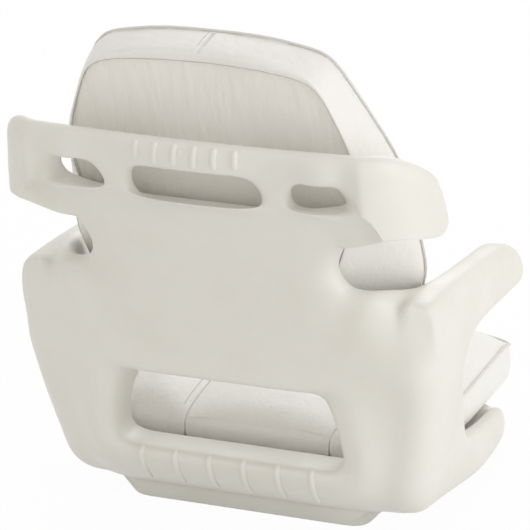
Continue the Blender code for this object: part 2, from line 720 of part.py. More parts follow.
def screw_bores():
    """Narrow holes through the pan above the counterbores."""
    shape = bmesh.new()
    for x, y in screw_places().values():
        drum(shape, SCREW_RADIUS + FIT_GAP, Vector((x, y, SCREW_SEAT_Z - CUT_OVERRUN)),
             Vector((x, y, FLOOR_Z + CUT_OVERRUN)))
    return shape


def make_shell(material):
    """The one-piece moulding: back, rail, arms, pan, plinth and ribs."""
    shell = finish("shell", lattice_cage(shell_cells(), shell_point, shell_crease), material)
    mirror_over(shell)
    smooth_over(shell, SHELL_LEVELS)
    ribs = rib_shapes(shell)
    cut_or_join(shell, plinth_shape(), "plinth block", "UNION")
    cut_or_join(shell, ribs, "rib rods", "UNION")
    cut_or_join(shell, shell_bores(), "wide bores", "DIFFERENCE")
    cut_or_join(shell, screw_bores(), "narrow bores", "DIFFERENCE")
    return shell


def make_inserts(material):
    """Threaded inserts in the plinth."""
    profile = ((INSERT_BORE_RADIUS, 0), (INSERT_RADIUS - INSERT_CHAMFER, 0), (INSERT_RADIUS, INSERT_CHAMFER),
               (INSERT_RADIUS, INSERT_LENGTH), (INSERT_BORE_RADIUS, INSERT_LENGTH))
    for name, (x, y) in insert_places().items():
        turned("insert_" + name, profile, (x, y, FIT_GAP), material)


def make_screws(steel, zinc):
    """Screws up through the pan into the seat board, each on a washer."""
    washer_z = SCREW_SEAT_Z - FIT_GAP - WASHER_THICKNESS
    head_z = washer_z - FIT_GAP
    tip_z = FLOOR_Z + FIT_GAP + SCREW_BITE
    screw = ((0, head_z - SCREW_HEAD_HEIGHT + SCREW_SOCKET_DEPTH),
             (SCREW_SOCKET_RADIUS, head_z - SCREW_HEAD_HEIGHT + SCREW_SOCKET_DEPTH),
             (SCREW_SOCKET_RADIUS, head_z - SCREW_HEAD_HEIGHT),
             (mix(SCREW_SOCKET_RADIUS, SCREW_HEAD_RADIUS, 0.6), head_z - SCREW_HEAD_HEIGHT),
             (SCREW_HEAD_RADIUS, mix(head_z - SCREW_HEAD_HEIGHT, head_z, 0.5)),
             (SCREW_HEAD_RADIUS, head_z), (SCREW_RADIUS, head_z),
             (SCREW_RADIUS, tip_z - SCREW_RADIUS), (0, tip_z))
    washer = ((SCREW_RADIUS + FIT_GAP, washer_z), (WASHER_RADIUS, washer_z),
              (WASHER_RADIUS, washer_z + WASHER_THICKNESS), (SCREW_RADIUS + FIT_GAP, washer_z + WASHER_THICKNESS))
    for name, (x, y) in screw_places().items():
        turned("seat_screw_" + name, screw, (x, y, 0), steel)
        turned("seat_washer_" + name, washer, (x, y, 0), zinc)


def block_cells(columns, layers, rows):
    """All cells of a block of lattice."""
    return {(column, layer, row) for column in range(columns) for layer in range(layers)
            for row in range(rows)}


BOARD_Z = FLOOR_Z + FIT_GAP
CUSHION_Z = BOARD_Z + BOARD_THICKNESS + FIT_GAP


def board_point(column, layer, row):
    """Place of a lattice point of the seat board."""
    share = layer / BOARD_LAYERS
    reach = mix(SEAT_REAR_WIDTH / 2 - BOARD_REAR_INSET, SEAT_WIDTH / 2 - BOARD_FRONT_INSET, min(1, 2 * share))
    half = reach * column / BOARD_COLUMNS
    front = BOARD_FRONT_Y + (SEAT_FRONT_BOW * (half / (SEAT_WIDTH / 2)) ** 2)
    return Vector((half, mix(BOARD_REAR_Y, front, share), BOARD_Z + BOARD_THICKNESS * row))


def make_seat_board(material):
    """The board under the seat cushion, with pilot holes for its screws."""
    cage = lattice_cage(block_cells(BOARD_COLUMNS, BOARD_LAYERS, 1), board_point)
    board = finish("seat_board", cage, material)
    mirror_over(board)
    shape = bmesh.new()
    for x, y in screw_places().values():
        drum(shape, SCREW_RADIUS + FIT_GAP, Vector((x, y, BOARD_Z - CUT_OVERRUN)),
             Vector((x, y, BOARD_Z + SCREW_BITE + FIT_GAP)))
    cut_or_join(board, shape, "pilot bores", "DIFFERENCE")
    board.data.set_sharp_from_angle(angle=SHARP_TURN)


def seat_edge(share):
    """Half widths of the seat cushion and of its seams at a share of its depth."""
    wide = min(1, share / SEAT_WIDE_SHARE)
    return (mix(SEAT_REAR_WIDTH, SEAT_WIDTH, wide ** 0.7) / 2,
            mix(SEAT_REAR_SEAM_WIDTH, SEAT_SEAM_WIDTH, wide) / 2)


def seat_point(half, layer, row, crown):
    """Place of a seat cushion point that stands at a half width."""
    share = SEAT_LAYER_SHARES[layer]
    front = SEAT_FRONT_Y + SEAT_FRONT_BOW * (half / (SEAT_WIDTH / 2)) ** 2
    y = mix(SEAT_REAR_Y, front, share)
    rise = mix(SEAT_REAR_RISE, SEAT_FRONT_RISE, share)
    last = len(SEAT_LAYER_SHARES) - 1
    z = CUSHION_Z + rise * SEAT_ROW_SHARES[row]
    if row == 2:
        z += crown * (0 if layer in (0, last) else 1) - SEAT_ROLL * (1 if layer in (0, last) else 0)
    if row == 1 and layer == last:
        y -= SEAT_BELLY
    return Vector((half, y, z))


def seat_centre_point(column, layer, row):
    """Place of a lattice point of the seat cushion's centre."""
    seam = seat_edge(SEAT_LAYER_SHARES[layer])[1] - FIT_GAP / 2
    share = column / CENTRE_COLUMNS
    crown = SEAT_CROWN * (1 - share ** 2)
    return seat_point(seam * share, layer, row, crown)


def bolster_point(side):
    """Maker of the lattice points of one bolster of the seat cushion."""
    def place(column, layer, row):
        outer, seam = seat_edge(SEAT_LAYER_SHARES[layer])
        inner = seam + FIT_GAP / 2
        share = column / BOLSTER_COLUMNS
        half = mix(inner, outer, share)
        if column == BOLSTER_COLUMNS and row == 1:
            half += SEAT_BELLY / 2
        crown = BOLSTER_CROWN * 4 * share * (1 - share)
        point = seat_point(half, layer, row, crown)
        point.x *= side
        return point
    return place


def make_seat_cushion(vinyl):
    """The seat cushion: a crowned centre between two bolsters."""
    layers = len(SEAT_LAYER_SHARES) - 1
    cage = lattice_cage(block_cells(CENTRE_COLUMNS, layers, 2), seat_centre_point)
    centre = finish("seat_cushion_centre", cage, vinyl)
    mirror_over(centre)
    smooth_over(centre)
    for name, side in (("left", 1), ("right", -1)):
        cage = lattice_cage(block_cells(BOLSTER_COLUMNS, layers, 2), bolster_point(side), half=False)
        if side < 0:
            bmesh.ops.reverse_faces(cage, faces=cage.faces)
        bolster = finish("seat_bolster_" + name, cage, vinyl)
        smooth_over(bolster)


def back_frame(half, along, depth):
    """World place of a point given square to the back panel."""
    lean = math.atan(RECLINE_SHARE)
    foot = BACK_FOOT_Y - PANEL_THICKNESS - BACK_GAP
    return Vector((half, foot + along * math.sin(lean) - depth * math.cos(lean),
                   along * math.cos(lean) + depth * math.sin(lean)))


def back_along(row, share):
    """Height of a back cushion point, square to the panel, at a share of its half width."""
    crest = BACK_CREST * share ** 2.5 if row >= BACK_LAST_ROW - 1 else 0
    return BACK_BOTTOM + BACK_HEIGHT * BACK_ROW_SHARES[row] - crest


def pocket_point(column, row, depth, gap=0):
    """Place of a point of the pocket in the pad's rear, or of a plate that fits it."""
    edge = BACK_REAR_WIDTH / 2 * BACK_REAR_SHARES[row]
    lip = BACK_LIP * (BACK_CORNER_SHARE if row >= BACK_LAST_ROW - 1 else 1)
    share = column / POCKET_COLUMNS
    half = edge - lip - gap
    along = back_along(row, share * half / edge)
    if row == 1:
        along += gap
    elif row == BACK_LAST_ROW - 1:
        along -= gap
    return back_frame(half * share, along, depth)


BACK_RECESS = BACK_PANEL_SET + BACK_PANEL_THICKNESS + BACK_BOARD_THICKNESS + 2 * FIT_GAP


def pad_point(column, layer, row):
    """Place of a lattice point of the back cushion's pad."""
    rear = BACK_REAR_WIDTH / 2 * BACK_REAR_SHARES[row]
    front = BACK_FRONT_WIDTH / 2 * BACK_FRONT_SHARES[row]
    if layer < 2 and column <= POCKET_COLUMNS:
        return pocket_point(column, row, BACK_RECESS * layer)
    along = back_along(row, column / BACK_COLUMNS)
    if layer < 2:
        return back_frame(mix(rear, front, layer * BACK_RECESS / BACK_SIDE_DEPTH), along, BACK_RECESS * layer)
    depth = mix(BACK_SIDE_DEPTH, BACK_TOP_DEPTH, BACK_THIN_SHARES[row])
    share = column / BACK_COLUMNS
    if 0 < row < BACK_LAST_ROW:
        depth += BACK_CROWN * (1 - share ** 4)
    if row >= BACK_LAST_ROW - 1:
        along -= BACK_FRONT_FALL
    return back_frame(front * share, along, depth)


def in_pocket(key):
    """Whether a lattice point of the pad is on the rim of its pocket."""
    column, layer, row = key
    on_side = column == POCKET_COLUMNS and 1 <= row <= BACK_LAST_ROW - 1
    on_end = row in (1, BACK_LAST_ROW - 1) and column <= POCKET_COLUMNS
    return layer < 2 and (on_side or on_end)


def pad_crease(start, end):
    """Keep the pocket's edges crisp."""
    return 1 if in_pocket(start) and in_pocket(end) else 0


def plate_crease(start, end):
    """Keep the outline of a pocket plate crisp."""
    ends = (0, BACK_LAST_ROW - 2)
    rim = [key[0] == POCKET_COLUMNS or key[2] in ends for key in (start, end)]
    return 1 if all(rim) else 0


def plate_maker(near, far, crown, gap):
    """Maker of the lattice points of a plate in the pocket, between two depths."""
    def place(column, layer, row):
        inside = column < POCKET_COLUMNS and 0 < row < BACK_LAST_ROW - 2
        depth = far if layer else near - (crown if inside else 0)
        return pocket_point(column, row + 1, depth, gap)
    return place


def edge_path(item, guides):
    """Line of the piping, lying against an object's surface beside each guide point."""
    bpy.context.view_layer.update()
    solid = item.evaluated_get(bpy.context.evaluated_depsgraph_get())
    path = []
    for guide in guides:
        _, place, _, _ = solid.closest_point_on_mesh(guide)
        path.append(place + (guide - place).normalized() * (PIPING_RADIUS + FIT_GAP + PIPING_SAG))
    return path


def thinned(path):
    """A path without the points that lie within the sag of a straight run."""
    kept = [path[0]]
    start = 0
    for end in range(2, len(path)):
        span = path[end] - path[start]
        strays = [(point - path[start]).cross(span).length / span.length for point in path[start + 1:end]]
        if max(strays) > PIPING_SAG:
            start = end - 1
            kept.append(path[start])
    return kept + [path[-1]]


def between(points):
    """Points spread along the straight runs between some points."""
    run = []
    for start, end in zip(points, points[1:]):
        run += [mix(start, end, step / PIPING_STEPS) for step in range(PIPING_STEPS)]
    return run + [points[-1]]


def mirrored(path):
    """A path on the sitter's left, carried on by its mirror image."""
    other = [Vector((-point.x, point.y, point.z)) for point in reversed(path)]
    return path + other


def make_back_cushion(vinyl, lining, plywood, welt):
    """The back cushion: a pad with a pocket that holds its board and its rear panel."""
    cells = block_cells(BACK_COLUMNS, 2, BACK_LAST_ROW)
    pocket = {(column, 0, row) for column in range(POCKET_COLUMNS) for row in range(1, BACK_LAST_ROW - 1)}
    pad = finish("back_cushion_pad", lattice_cage(cells - pocket, pad_point, pad_crease), vinyl)
    mirror_over(pad)
    smooth_over(pad)
    plate = block_cells(POCKET_COLUMNS, 1, BACK_LAST_ROW - 2)
    panel_far = BACK_PANEL_SET + BACK_PANEL_THICKNESS
    maker = plate_maker(BACK_PANEL_SET, panel_far, BACK_PANEL_CROWN, FIT_GAP)
    panel = finish("back_cushion_rear_panel", lattice_cage(plate, maker, plate_crease), lining)
    mirror_over(panel)
    smooth_over(panel)
    maker = plate_maker(panel_far + FIT_GAP, BACK_RECESS - FIT_GAP, 0, BACK_BOARD_INSET)
    board = finish("back_board", lattice_cage(plate, maker, plate_crease), plywood)
    mirror_over(board)
    rows = range(BACK_LAST_ROW + 1)
    guides = [pad_point(column, 2, 0) for column in range(BACK_COLUMNS)]
    guides += [pad_point(BACK_COLUMNS, 2, row) for row in rows]
    guides += [pad_point(column, 2, BACK_LAST_ROW) for column in range(BACK_COLUMNS - 1, 0, -1)]
    path = mirrored(thinned(edge_path(pad, between(guides)[1:])))
    shape = bmesh.new()
    tube(shape, path, PIPING_RADIUS, PIPING_SIDES, SQUARE_TO_BACK, loop=True)
    finish("back_cushion_piping", shape, welt)


def make_seat_piping(welt):
    """The piping round the sides and front of the seat cushion's top."""
    last = len(SEAT_LAYER_SHARES) - 1
    outer = bolster_point(1)
    side = [outer(BOLSTER_COLUMNS, layer, 2) for layer in range(1, last + 1)]
    corner = [outer(column, last, 2) for column in range(BOLSTER_COLUMNS, 0, -1)]
    guides = between(side)[:-1] + between(corner)
    path = edge_path(bpy.data.objects["seat_bolster_left"], guides)
    front = [seat_centre_point(column, last, 2) for column in range(CENTRE_COLUMNS - 1, -1, -1)]
    path += edge_path(bpy.data.objects["seat_cushion_centre"], between(front)[:-1])
    shape = bmesh.new()
    tube(shape, mirrored(thinned(path)), PIPING_RADIUS, PIPING_SIDES, UPWARDS)
    finish("seat_cushion_piping", shape, welt)


def build():
    """Make every piece."""
    remove_startup_objects()
    white = paint("moulded white plastic", (0.80, 0.79, 0.75), 0.45)
    brass = paint("brass", (0.72, 0.56, 0.28), 0.35, 1.0)
    steel = paint("stainless steel", (0.62, 0.62, 0.60), 0.30, 1.0)
    zinc = paint("washer steel", (0.66, 0.66, 0.65), 0.40, 1.0)
    plywood = paint("sealed plywood", (0.55, 0.40, 0.25), 0.65)
    vinyl = paint("white vinyl", (0.82, 0.81, 0.78), 0.50)
    lining = paint("grained vinyl", (0.72, 0.69, 0.62), 0.60)
    welt = paint("piping vinyl", (0.85, 0.84, 0.82), 0.45)
    make_shell(white)
    make_inserts(brass)
    make_screws(steel, zinc)
    make_seat_board(plywood)
    make_seat_cushion(vinyl)
    make_seat_piping(welt)
    make_back_cushion(vinyl, lining, plywood, welt)


build()
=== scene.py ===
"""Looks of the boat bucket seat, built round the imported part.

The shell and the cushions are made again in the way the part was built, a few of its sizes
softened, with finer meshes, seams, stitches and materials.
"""

import math

import bmesh
import bpy
from mathutils import Matrix, Vector, noise


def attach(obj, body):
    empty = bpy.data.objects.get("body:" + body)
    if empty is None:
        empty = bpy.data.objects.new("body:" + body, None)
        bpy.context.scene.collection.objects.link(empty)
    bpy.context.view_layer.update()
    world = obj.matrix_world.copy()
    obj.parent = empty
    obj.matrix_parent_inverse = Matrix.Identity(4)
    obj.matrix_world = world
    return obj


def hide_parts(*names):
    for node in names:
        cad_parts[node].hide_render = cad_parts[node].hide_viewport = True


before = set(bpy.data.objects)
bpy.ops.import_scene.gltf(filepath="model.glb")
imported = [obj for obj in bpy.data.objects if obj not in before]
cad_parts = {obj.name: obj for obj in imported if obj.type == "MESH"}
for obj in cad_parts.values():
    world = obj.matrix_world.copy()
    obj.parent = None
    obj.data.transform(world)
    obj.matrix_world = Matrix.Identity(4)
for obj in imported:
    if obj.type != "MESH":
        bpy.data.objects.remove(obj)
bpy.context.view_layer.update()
scene = bpy.context.scene

# Counts, and places along a row counted in pitches
SHELL_LEVELS = 3
CUSHION_LEVELS = 4
RIB_SIDES = 16
PIPING_SIDES = 16
TURN_SIDES = 48
RIB_STEPS = 14
PIPING_STEPS = 12
THREAD_SIDES = 6
FLOOR_SIDES = 96
SEAM_STEPS = 8
POCKET_STEPS = 12
RIB_PLACES = (-2.5, -1.5, -0.5, 0.5, 1.5, 2.5)
CENTRE_COLUMNS = 3
BOLSTER_COLUMNS = 3
POCKET_COLUMNS = 4
BACK_COLUMNS = 5
BACK_LAST_ROW = 9

# Stitches, and the valleys and wrinkles of the sewn covers
STITCH_PITCH = 0.0042
STITCH_ENDS = (0.12, 0.88)
THREAD_RADIUS = 0.00035
THREAD_SINK_SHARE = 0.35
SEAM_STITCH_INSET = 0.006
STITCH_LIFT = 0.010
JOIN_STITCH_INSET = 0.0045
JOIN_STITCH_ENDS = (0.012, 0.006)
# Points left off the ends of a seam, and how squarely a face looks back or up to take a valley
SEAM_ENDS = (6, -4)
REAR_FACING = 0.6
TOP_FACING = 0.3
REAR_SEAM_Z = 0.110
REAR_SEAM_WIDTH = 0.0022
REAR_SEAM_DEPTH = 0.0016
JOIN_WIDTH = 0.0020
JOIN_DEPTH = 0.0018
# How far the seat cushion's boxing hangs below its underside at the front and the sides
SEAT_SKIRT = 0.013
# Each cover's wrinkles: their height, their waves along each axis, and a shift of its own
CENTRE_WRINKLES = (0.00045, (45, 14, 20), 3)
BOLSTER_WRINKLES = (0.0005, (30, 26, 30), 9)
PAD_WRINKLES = (0.0005, (40, 40, 22), 5)
PANEL_WRINKLES = (0.0011, (105, 20, 13), 7)

# Camera, floor and lamps
SENSOR = 36.0
LENS = 237.7
CAMERA_PLACE = (-1.609, 4.286, 1.880)
CAMERA_AZIMUTH = 201
CAMERA_ELEVATION = 19
FLOOR_RADIUS = 12.0
FLOOR_WHITE_SHARE = 0.96
WORLD_STRENGTH = 0.78
WORLD_COLOUR = (1.0, 0.975, 0.935, 1)
WHITE = (1, 1, 1, 1)
LOOK_AT = (0, 0, 0.3)
LAMP_COLOUR = (0.97, 0.985, 1.0)
# Each lamp's name, place, size and power
LAMPS = (("key", (-3.6, 0.5, 1.3), 2.2, 36),
         ("fill", (-1.6, 4.2, 0.9), 2.2, 9),
         ("front", (0.6, -3.0, 2.2), 2.0, 26))

# Colours, light and dark
SHELL_COLOURS = ((0.795, 0.783, 0.737), (0.766, 0.751, 0.698))
SPECK_COLOUR = (0.70, 0.68, 0.60)
# Painted shade laid into the shell's concave hollows
SHELL_HOLLOW_SHADE_COLOUR = (0.56, 0.50, 0.40)
# Lighter tone laid along the shell's sharp convex edges
SHELL_EDGE_COLOUR = (0.83, 0.825, 0.79)
# Painted shade laid into the vinyl covers' creases and seams
VINYL_CREASE_SHADE_COLOUR = (0.50, 0.45, 0.37)
VINYL_COLOURS = ((0.915, 0.905, 0.880), (0.888, 0.876, 0.846))
LINING_COLOURS = ((0.940, 0.924, 0.884), (0.912, 0.892, 0.846))
PIPING_COLOURS = ((0.800, 0.785, 0.750), (0.760, 0.740, 0.695))
YARN_COLOUR = (0.58, 0.51, 0.40)
BRASS_COLOURS = ((0.74, 0.58, 0.30), (0.55, 0.40, 0.20))
STEEL_COLOURS = ((0.66, 0.66, 0.64), (0.50, 0.50, 0.49))
ZINC_COLOURS = ((0.68, 0.68, 0.67), (0.52, 0.52, 0.53))
WOOD_COLOURS = ((0.60, 0.44, 0.27), (0.40, 0.26, 0.14))
PLY_COLOUR = (0.25, 0.16, 0.09)
FLOOR_COLOURS = ((0.88, 0.88, 0.87), (0.85, 0.85, 0.84))

# Heights of the shell's stretches, from the foot upwards, and of the arms below the ledge
PLINTH_HEIGHT = 0.021
PAN_THICKNESS = 0.037
RIM_HEIGHT = 0.032
LOWER_BAR_HEIGHT = 0.092
LOWER_SLOT_HEIGHT = 0.108
LOWER_PANEL_HEIGHT = 0.136
ARM_HEIGHT = 0.092
NOTCH_HEIGHT = 0.095
WEB_HEIGHT = 0.055
HAND_SLOT_HEIGHT = 0.041
RAIL_HEIGHT = 0.042

# Widths of the shell, across the sitter
ARM_SPAN = 0.592
ARM_WIDTH = 0.050
FOOT_WIDTH = 0.502
FLARE_WIDTH = 0.550
RIM_WIDTH = 0.034
LOWER_SLOT_WIDTH = 0.300
NOTCH_DEPTH = 0.128
CENTRE_SLOT_WIDTH = 0.200
POST_WIDTH = 0.018
SIDE_SLOT_WIDTH = 0.100
BAND_SHOULDER = 0.011

# Depths of the shell, from the back to the front
BACK_FOOT_Y = 0.184
PANEL_THICKNESS = 0.060
BAND_STEP = 0.034
RAIL_THICKNESS = 0.036
ARM_TIP_Y = -0.158
PAN_FRONT_Y = -0.235
RIM_FRONT_Y = -0.186
WALL_FRONT_Y = 0.098

# The rail's ends, which wrap forward round the sitter
RAIL_STRAIGHT = 0.206
RAIL_BOW = 0.012
WING_RADIUS = 0.095
WING_RUN = 0.073
WING_THICKNESS = 0.036
WING_DROP = 0.049
WING_SPLAY = 0.007

# Roundings of the slots, the notch and the body's corners
RIM_ROLL = 0.018
SLOT_SPREAD = 0.014
NOTCH_DRAW = 0.006
RIM_FALL = 0.028
UNDER_FALL = 0.005
PAN_TAPER = 0.010
TIP_FLARE = 0.003
LIP_FALL = 0.024
CORNER_DROP = 0.022
FACET_DROP = 0.062
CORNER_FILL = 0.070
FLOOR_CORNER = 0.035
BAR_TUCK = 0.030
BAR_SET = 0.034
BAR_DIP = 0.013
LEDGE_RISE = 0.026
EDGE_RISE = 0.016
BAND_SLANT = 0.012
SLOT_TAPER = 0.016
ARM_FALL = 0.018
TIP_SET = 0.026
TIP_INNER_SET = 0.020
TIP_DROP = 0.026

# Plinth under the pan
PLINTH_WIDTH = 0.341
PLINTH_FRONT_Y = -0.150
PLINTH_REAR_Y = 0.166
PLINTH_SLOPE = 0.019
PLINTH_CORNER = 0.020
PLINTH_EDGE = 0.004
PLINTH_SINK = 0.010

# Grip ribs on the rail and on the bar under the lower slot
RIB_RADIUS = 0.0045
RIB_STAND = 0.0036
RAIL_RIB_PITCH = 0.027
BAR_RIB_PITCH = 0.049
RIB_REACH = 0.150

# Threaded inserts in the plinth
INSERT_SPACING = 0.140
INSERT_RADIUS = 0.0075
INSERT_LENGTH = 0.020

# Screws that hold the seat cushion's board
SCREW_SPACING = 0.260
SCREW_FRONT_Y = -0.195
SCREW_REAR_Y = 0.060
SCREW_SEAT_Z = 0.036
SCREW_RADIUS = 0.0025
COUNTERBORE_RADIUS = 0.010

# Clearances and overruns
FIT_GAP = 0.0003
CUT_OVERRUN = 0.002
MERGE_GAP = 0.0001

# Seat cushion
SEAT_SIDE_GAP = 0.009
SEAT_WIDTH = ARM_SPAN - 2 * (ARM_WIDTH + SEAT_SIDE_GAP)
SEAT_REAR_TAPER = 0.045
SEAT_REAR_WIDTH = SEAT_WIDTH - 2 * SEAT_REAR_TAPER
SEAT_REAR_Y = 0.128
SEAT_FRONT_Y = -0.332
SEAT_FRONT_BOW = 0.046
BOARD_THICKNESS = 0.012
SEAT_REAR_SEAM_WIDTH = 0.212
SEAT_SEAM_WIDTH = 0.244
SEAT_REAR_RISE = 0.046
SEAT_FRONT_RISE = 0.058
SEAT_CROWN = 0.014
SEAT_ROLL = 0.008
BOLSTER_CROWN = 0.018
SEAT_BELLY = 0.010
PIPING_RADIUS = 0.0018
PIPING_SAG = 0.0002

# Back cushion, measured square to the back panel
BACK_GAP = 0.0009
BACK_BOTTOM = 0.226
BACK_HEIGHT = 0.492
BACK_SIDE_INSET = 0.027
BACK_FRONT_WIDTH = ARM_SPAN - 2 * BACK_SIDE_INSET
BACK_SIDE_TAPER = 0.047
BACK_REAR_WIDTH = BACK_FRONT_WIDTH - 2 * BACK_SIDE_TAPER
BACK_TOP_DEPTH = 0.062
BACK_SIDE_DEPTH = 0.086
BACK_FRONT_FALL = 0.004
BACK_CROWN = 0.020
BACK_CREST = 0.018
BACK_LIP = 0.003
BACK_PANEL_SET = 0.003
BACK_PANEL_CROWN = 0.002
BACK_PANEL_THICKNESS = 0.003
BACK_BOARD_THICKNESS = 0.009

# Leans and turns, which are ratios and angles and not lengths
RECLINE_SHARE = 0.306
WING_TURN = math.radians(69)
RAIL_RIB_TURNS = (math.radians(50), math.radians(-28))
BAR_RIB_TURNS = (math.radians(27), math.radians(-18))
SHARP_TURN = math.radians(50)

# Directions
ACROSS = Vector((1, 0, 0))
UPWARDS = Vector((0, 0, 1))
SQUARE_TO_BACK = Vector((0, math.cos(math.atan(RECLINE_SHARE)), -math.sin(math.atan(RECLINE_SHARE))))

# Shares of a radius and of the cushions' own sizes, and the powers of their curves
DOME_SHARE = 0.6
ROUND_SHARE = 0.5
SEAT_EDGE_POWER = 0.7
CREST_POWER = 2.5
BACK_CROWN_POWER = 4
BACK_JOIN_SHARE = 0.9
SEAT_WIDE_SHARE = 0.42
SEAT_LAYER_SHARES = (0, 0.07, 0.20, 0.42, 0.62, 0.80, 0.93, 1.0)
SEAT_LAST_LAYER = len(SEAT_LAYER_SHARES) - 1
SEAT_ROW_SHARES = (0, 0.5, 1.0)
BACK_ROW_SHARES = (0, 0.03, 0.26, 0.29, 0.42, 0.62, 0.74, 0.85, 0.99, 1.02)
BACK_REAR_SHARES = (0.62, 0.62, 0.62, 0.65, 0.76, 0.92, 0.895, 0.81, 0.725, 0.60)
BACK_CORNER_SHARE = 1.5
FILL_ACROSS_SHARES = (0, 0, 0, 0, 0, 0.08, 0.55, 1.0, 1.0, 1.0)
BACK_FRONT_SHARES = (0.84, 0.88, 0.985, 1.02, 0.98, 0.93, 0.83, 0.73, 0.64, 0.57)
BACK_THIN_SHARES = (0, 0, 0, 0, 0, 0.2, 0.5, 0.8, 1.0, 1.0)

# Numbers of the shell's lattice: columns outwards, rows upwards, layers forwards
(MIDDLE, THIRD, CENTRE_END, SIDE_START, SLOT_END, SLOT_RIM, SIDE_END,
 WALL_IN, WALL_MID, WALL_OUT, WING_MID, WING_TIP) = range(12)
(FOOT, FLOOR, RIM, SLOT, SLOT_MID, SLOT_TOP, BROW, ARM_UNDER,
 LEDGE, NOTCH_MID, NOTCH_TOP, WEB, LIP, RAIL_UNDER, RAIL_TOP) = range(15)
REAR, INSIDE, WALL_EDGE, ARM_MID, ARM_FORE, TIP, FRONT = range(7)


def mix(start, end, share):
    """Value or point at a share of the way from start to end."""
    return start + (end - start) * share


FOOT_Z = PLINTH_HEIGHT
FLOOR_Z = FOOT_Z + PAN_THICKNESS
RIM_Z = FLOOR_Z + RIM_HEIGHT
SLOT_Z = FOOT_Z + LOWER_BAR_HEIGHT
SLOT_TOP_Z = SLOT_Z + LOWER_SLOT_HEIGHT
LEDGE_Z = SLOT_TOP_Z + LOWER_PANEL_HEIGHT
ARM_UNDER_Z = LEDGE_Z - ARM_HEIGHT
NOTCH_TOP_Z = LEDGE_Z + NOTCH_HEIGHT
LIP_Z = NOTCH_TOP_Z + WEB_HEIGHT
RAIL_UNDER_Z = LIP_Z + HAND_SLOT_HEIGHT
RAIL_TOP_Z = RAIL_UNDER_Z + RAIL_HEIGHT
BROW_SHARE = 0.38
WEB_SHARE = 0.6
ROW_Z = (FOOT_Z, FLOOR_Z, RIM_Z, SLOT_Z, mix(SLOT_Z, SLOT_TOP_Z, 0.5), SLOT_TOP_Z,
         mix(SLOT_TOP_Z, ARM_UNDER_Z, BROW_SHARE), ARM_UNDER_Z,
         LEDGE_Z, mix(LEDGE_Z, NOTCH_TOP_Z, 0.5), NOTCH_TOP_Z,
         mix(NOTCH_TOP_Z, LIP_Z, WEB_SHARE), LIP_Z, RAIL_UNDER_Z, RAIL_TOP_Z)


def back_plane(z):
    """Depth of the back panel's flat rear face at a height."""
    return BACK_FOOT_Y + RECLINE_SHARE * z


# Half widths along the upper rows, measured along the rail
CENTRE_HALF = CENTRE_SLOT_WIDTH / 2
SIDE_HALF = CENTRE_HALF + POST_WIDTH
SIDE_END_HALF = SIDE_HALF + SIDE_SLOT_WIDTH
BOW_ANGLE = math.atan(2 * RAIL_BOW / RAIL_STRAIGHT)
WING_ARC = WING_RADIUS * (WING_TURN - BOW_ANGLE)
WING_END = RAIL_STRAIGHT + WING_ARC + WING_RUN


def rail_path(along):
    """Half width, forward drop and turn of the rail's rear face at a distance along it."""
    if along <= RAIL_STRAIGHT:
        share = along / RAIL_STRAIGHT
        return along, RAIL_BOW * share ** 2, BOW_ANGLE * share
    arc = min(along - RAIL_STRAIGHT, WING_ARC)
    run = along - RAIL_STRAIGHT - arc
    turn = BOW_ANGLE + arc / WING_RADIUS
    half = RAIL_STRAIGHT + WING_RADIUS * (math.sin(turn) - math.sin(BOW_ANGLE)) + run * math.cos(turn)
    drop = RAIL_BOW + WING_RADIUS * (math.cos(BOW_ANGLE) - math.cos(turn)) + run * math.sin(turn)
    return half, drop, turn


# Shares row by row, from the foot upwards
TAPER_SHARES = (0, 0.30, 0.40, 0.52, 0.76, 0.92, 0.97, 1.0, 1.0)
FLARE_SHARES = (0, 0.30, 0.30, 0.34, 0.60, 0.84, 0.92, 1.0, 1.0)
LOWER_SLOT_SHARES = (1.0, 1.0, 1.0, 1.10, 1.07, 0.98, 1.0, 1.0, 1.0)
SLOT_INNER_SHARES = (1.0, 1.0, 1.02, 1.03, 0.95, 0.84, 0.95, 1.0, 1.0)
FILL_SHARES = (0.5, 0.5, 0.6, 0.6, 0.6, 0.6, 0.6, 0.9, 1.0)
WALL_EDGE_SHARES = (-0.10, 0.0, 0.25, 0.46, 0.78, 1.0, 1.08, 0.70, 0.70)
ROLL_SHARES = (0, 0, 0, 1.0, 0.8, 1.0, 0, 0, 0.5, 0.6, 0.4, 0, 1.1, 0.9, 0)
# Shares column by column
INNER_SHARES = (0, 0.28, 0.54, 0.76)
FACET_SHARES = (0.04, 0.16, 0.48, 0.70, 0.76)
PAN_LAYER_SHARES = (0, 0.34, 0.70, 1.0)
ARM_LAYER_SHARES = (0, 0.42, 0.86, 1.0)
SPLAY_SHARES = (0.8, 0.5, 0.2, -0.6, -1.2)
SLANT_SHARES = (1.0, 0.7, -0.3, 0, 0)
EDGE_RISE_SHARES = (0, 0, 0, 0, -0.2, 0.1, 0.4, 0.9, 1.3, 1.3, 0.8, 0)
LIP_SHARES = (1.0, 1.0, 1.0, 0.5, 0.25, 0, -0.25)
LEDGE_SHARES = (1.0, 1.0, 1.0, 1.0, 1.0, 1.0, 0.9, 0.5, 0.2, 0.12)
SET_SHARES = (0.2, 0.65, 0.95, 1.0, 0.9, 0.75, 0.5, 0.25, 0)
SET_ACROSS_SHARES = (1.0, 1.0, 1.0, 1.0, 1.0, 0.8, 0.4, 0, 0, 0)
NOTCH_INNER_SHARE = 0.80
WING_ELBOW_SHARE = 0.66
SIDE_SLOT_SHARES = (0.35, 0.7)
WING_DROP_POWER = 4
PAN_BOW_POWER = 4
WING_UNDER_SHARE = 0.4
LEDGE_NOTCH_SHARE = 0.86
NOTCH_TOP_SHARE = 0.84
WING_CREASE_SHARE = 0.6
BAND_CREASE_SHARE = 0.6
SHOULDER_CREASE_SHARE = 0.5
RIM_CREASE_SHARE = 0.2
SLOT_CREASE_SHARE = 0.3
SEAM_CREASE_SHARE = 0.75
SEAM_END_CREASE_SHARE = 0.9


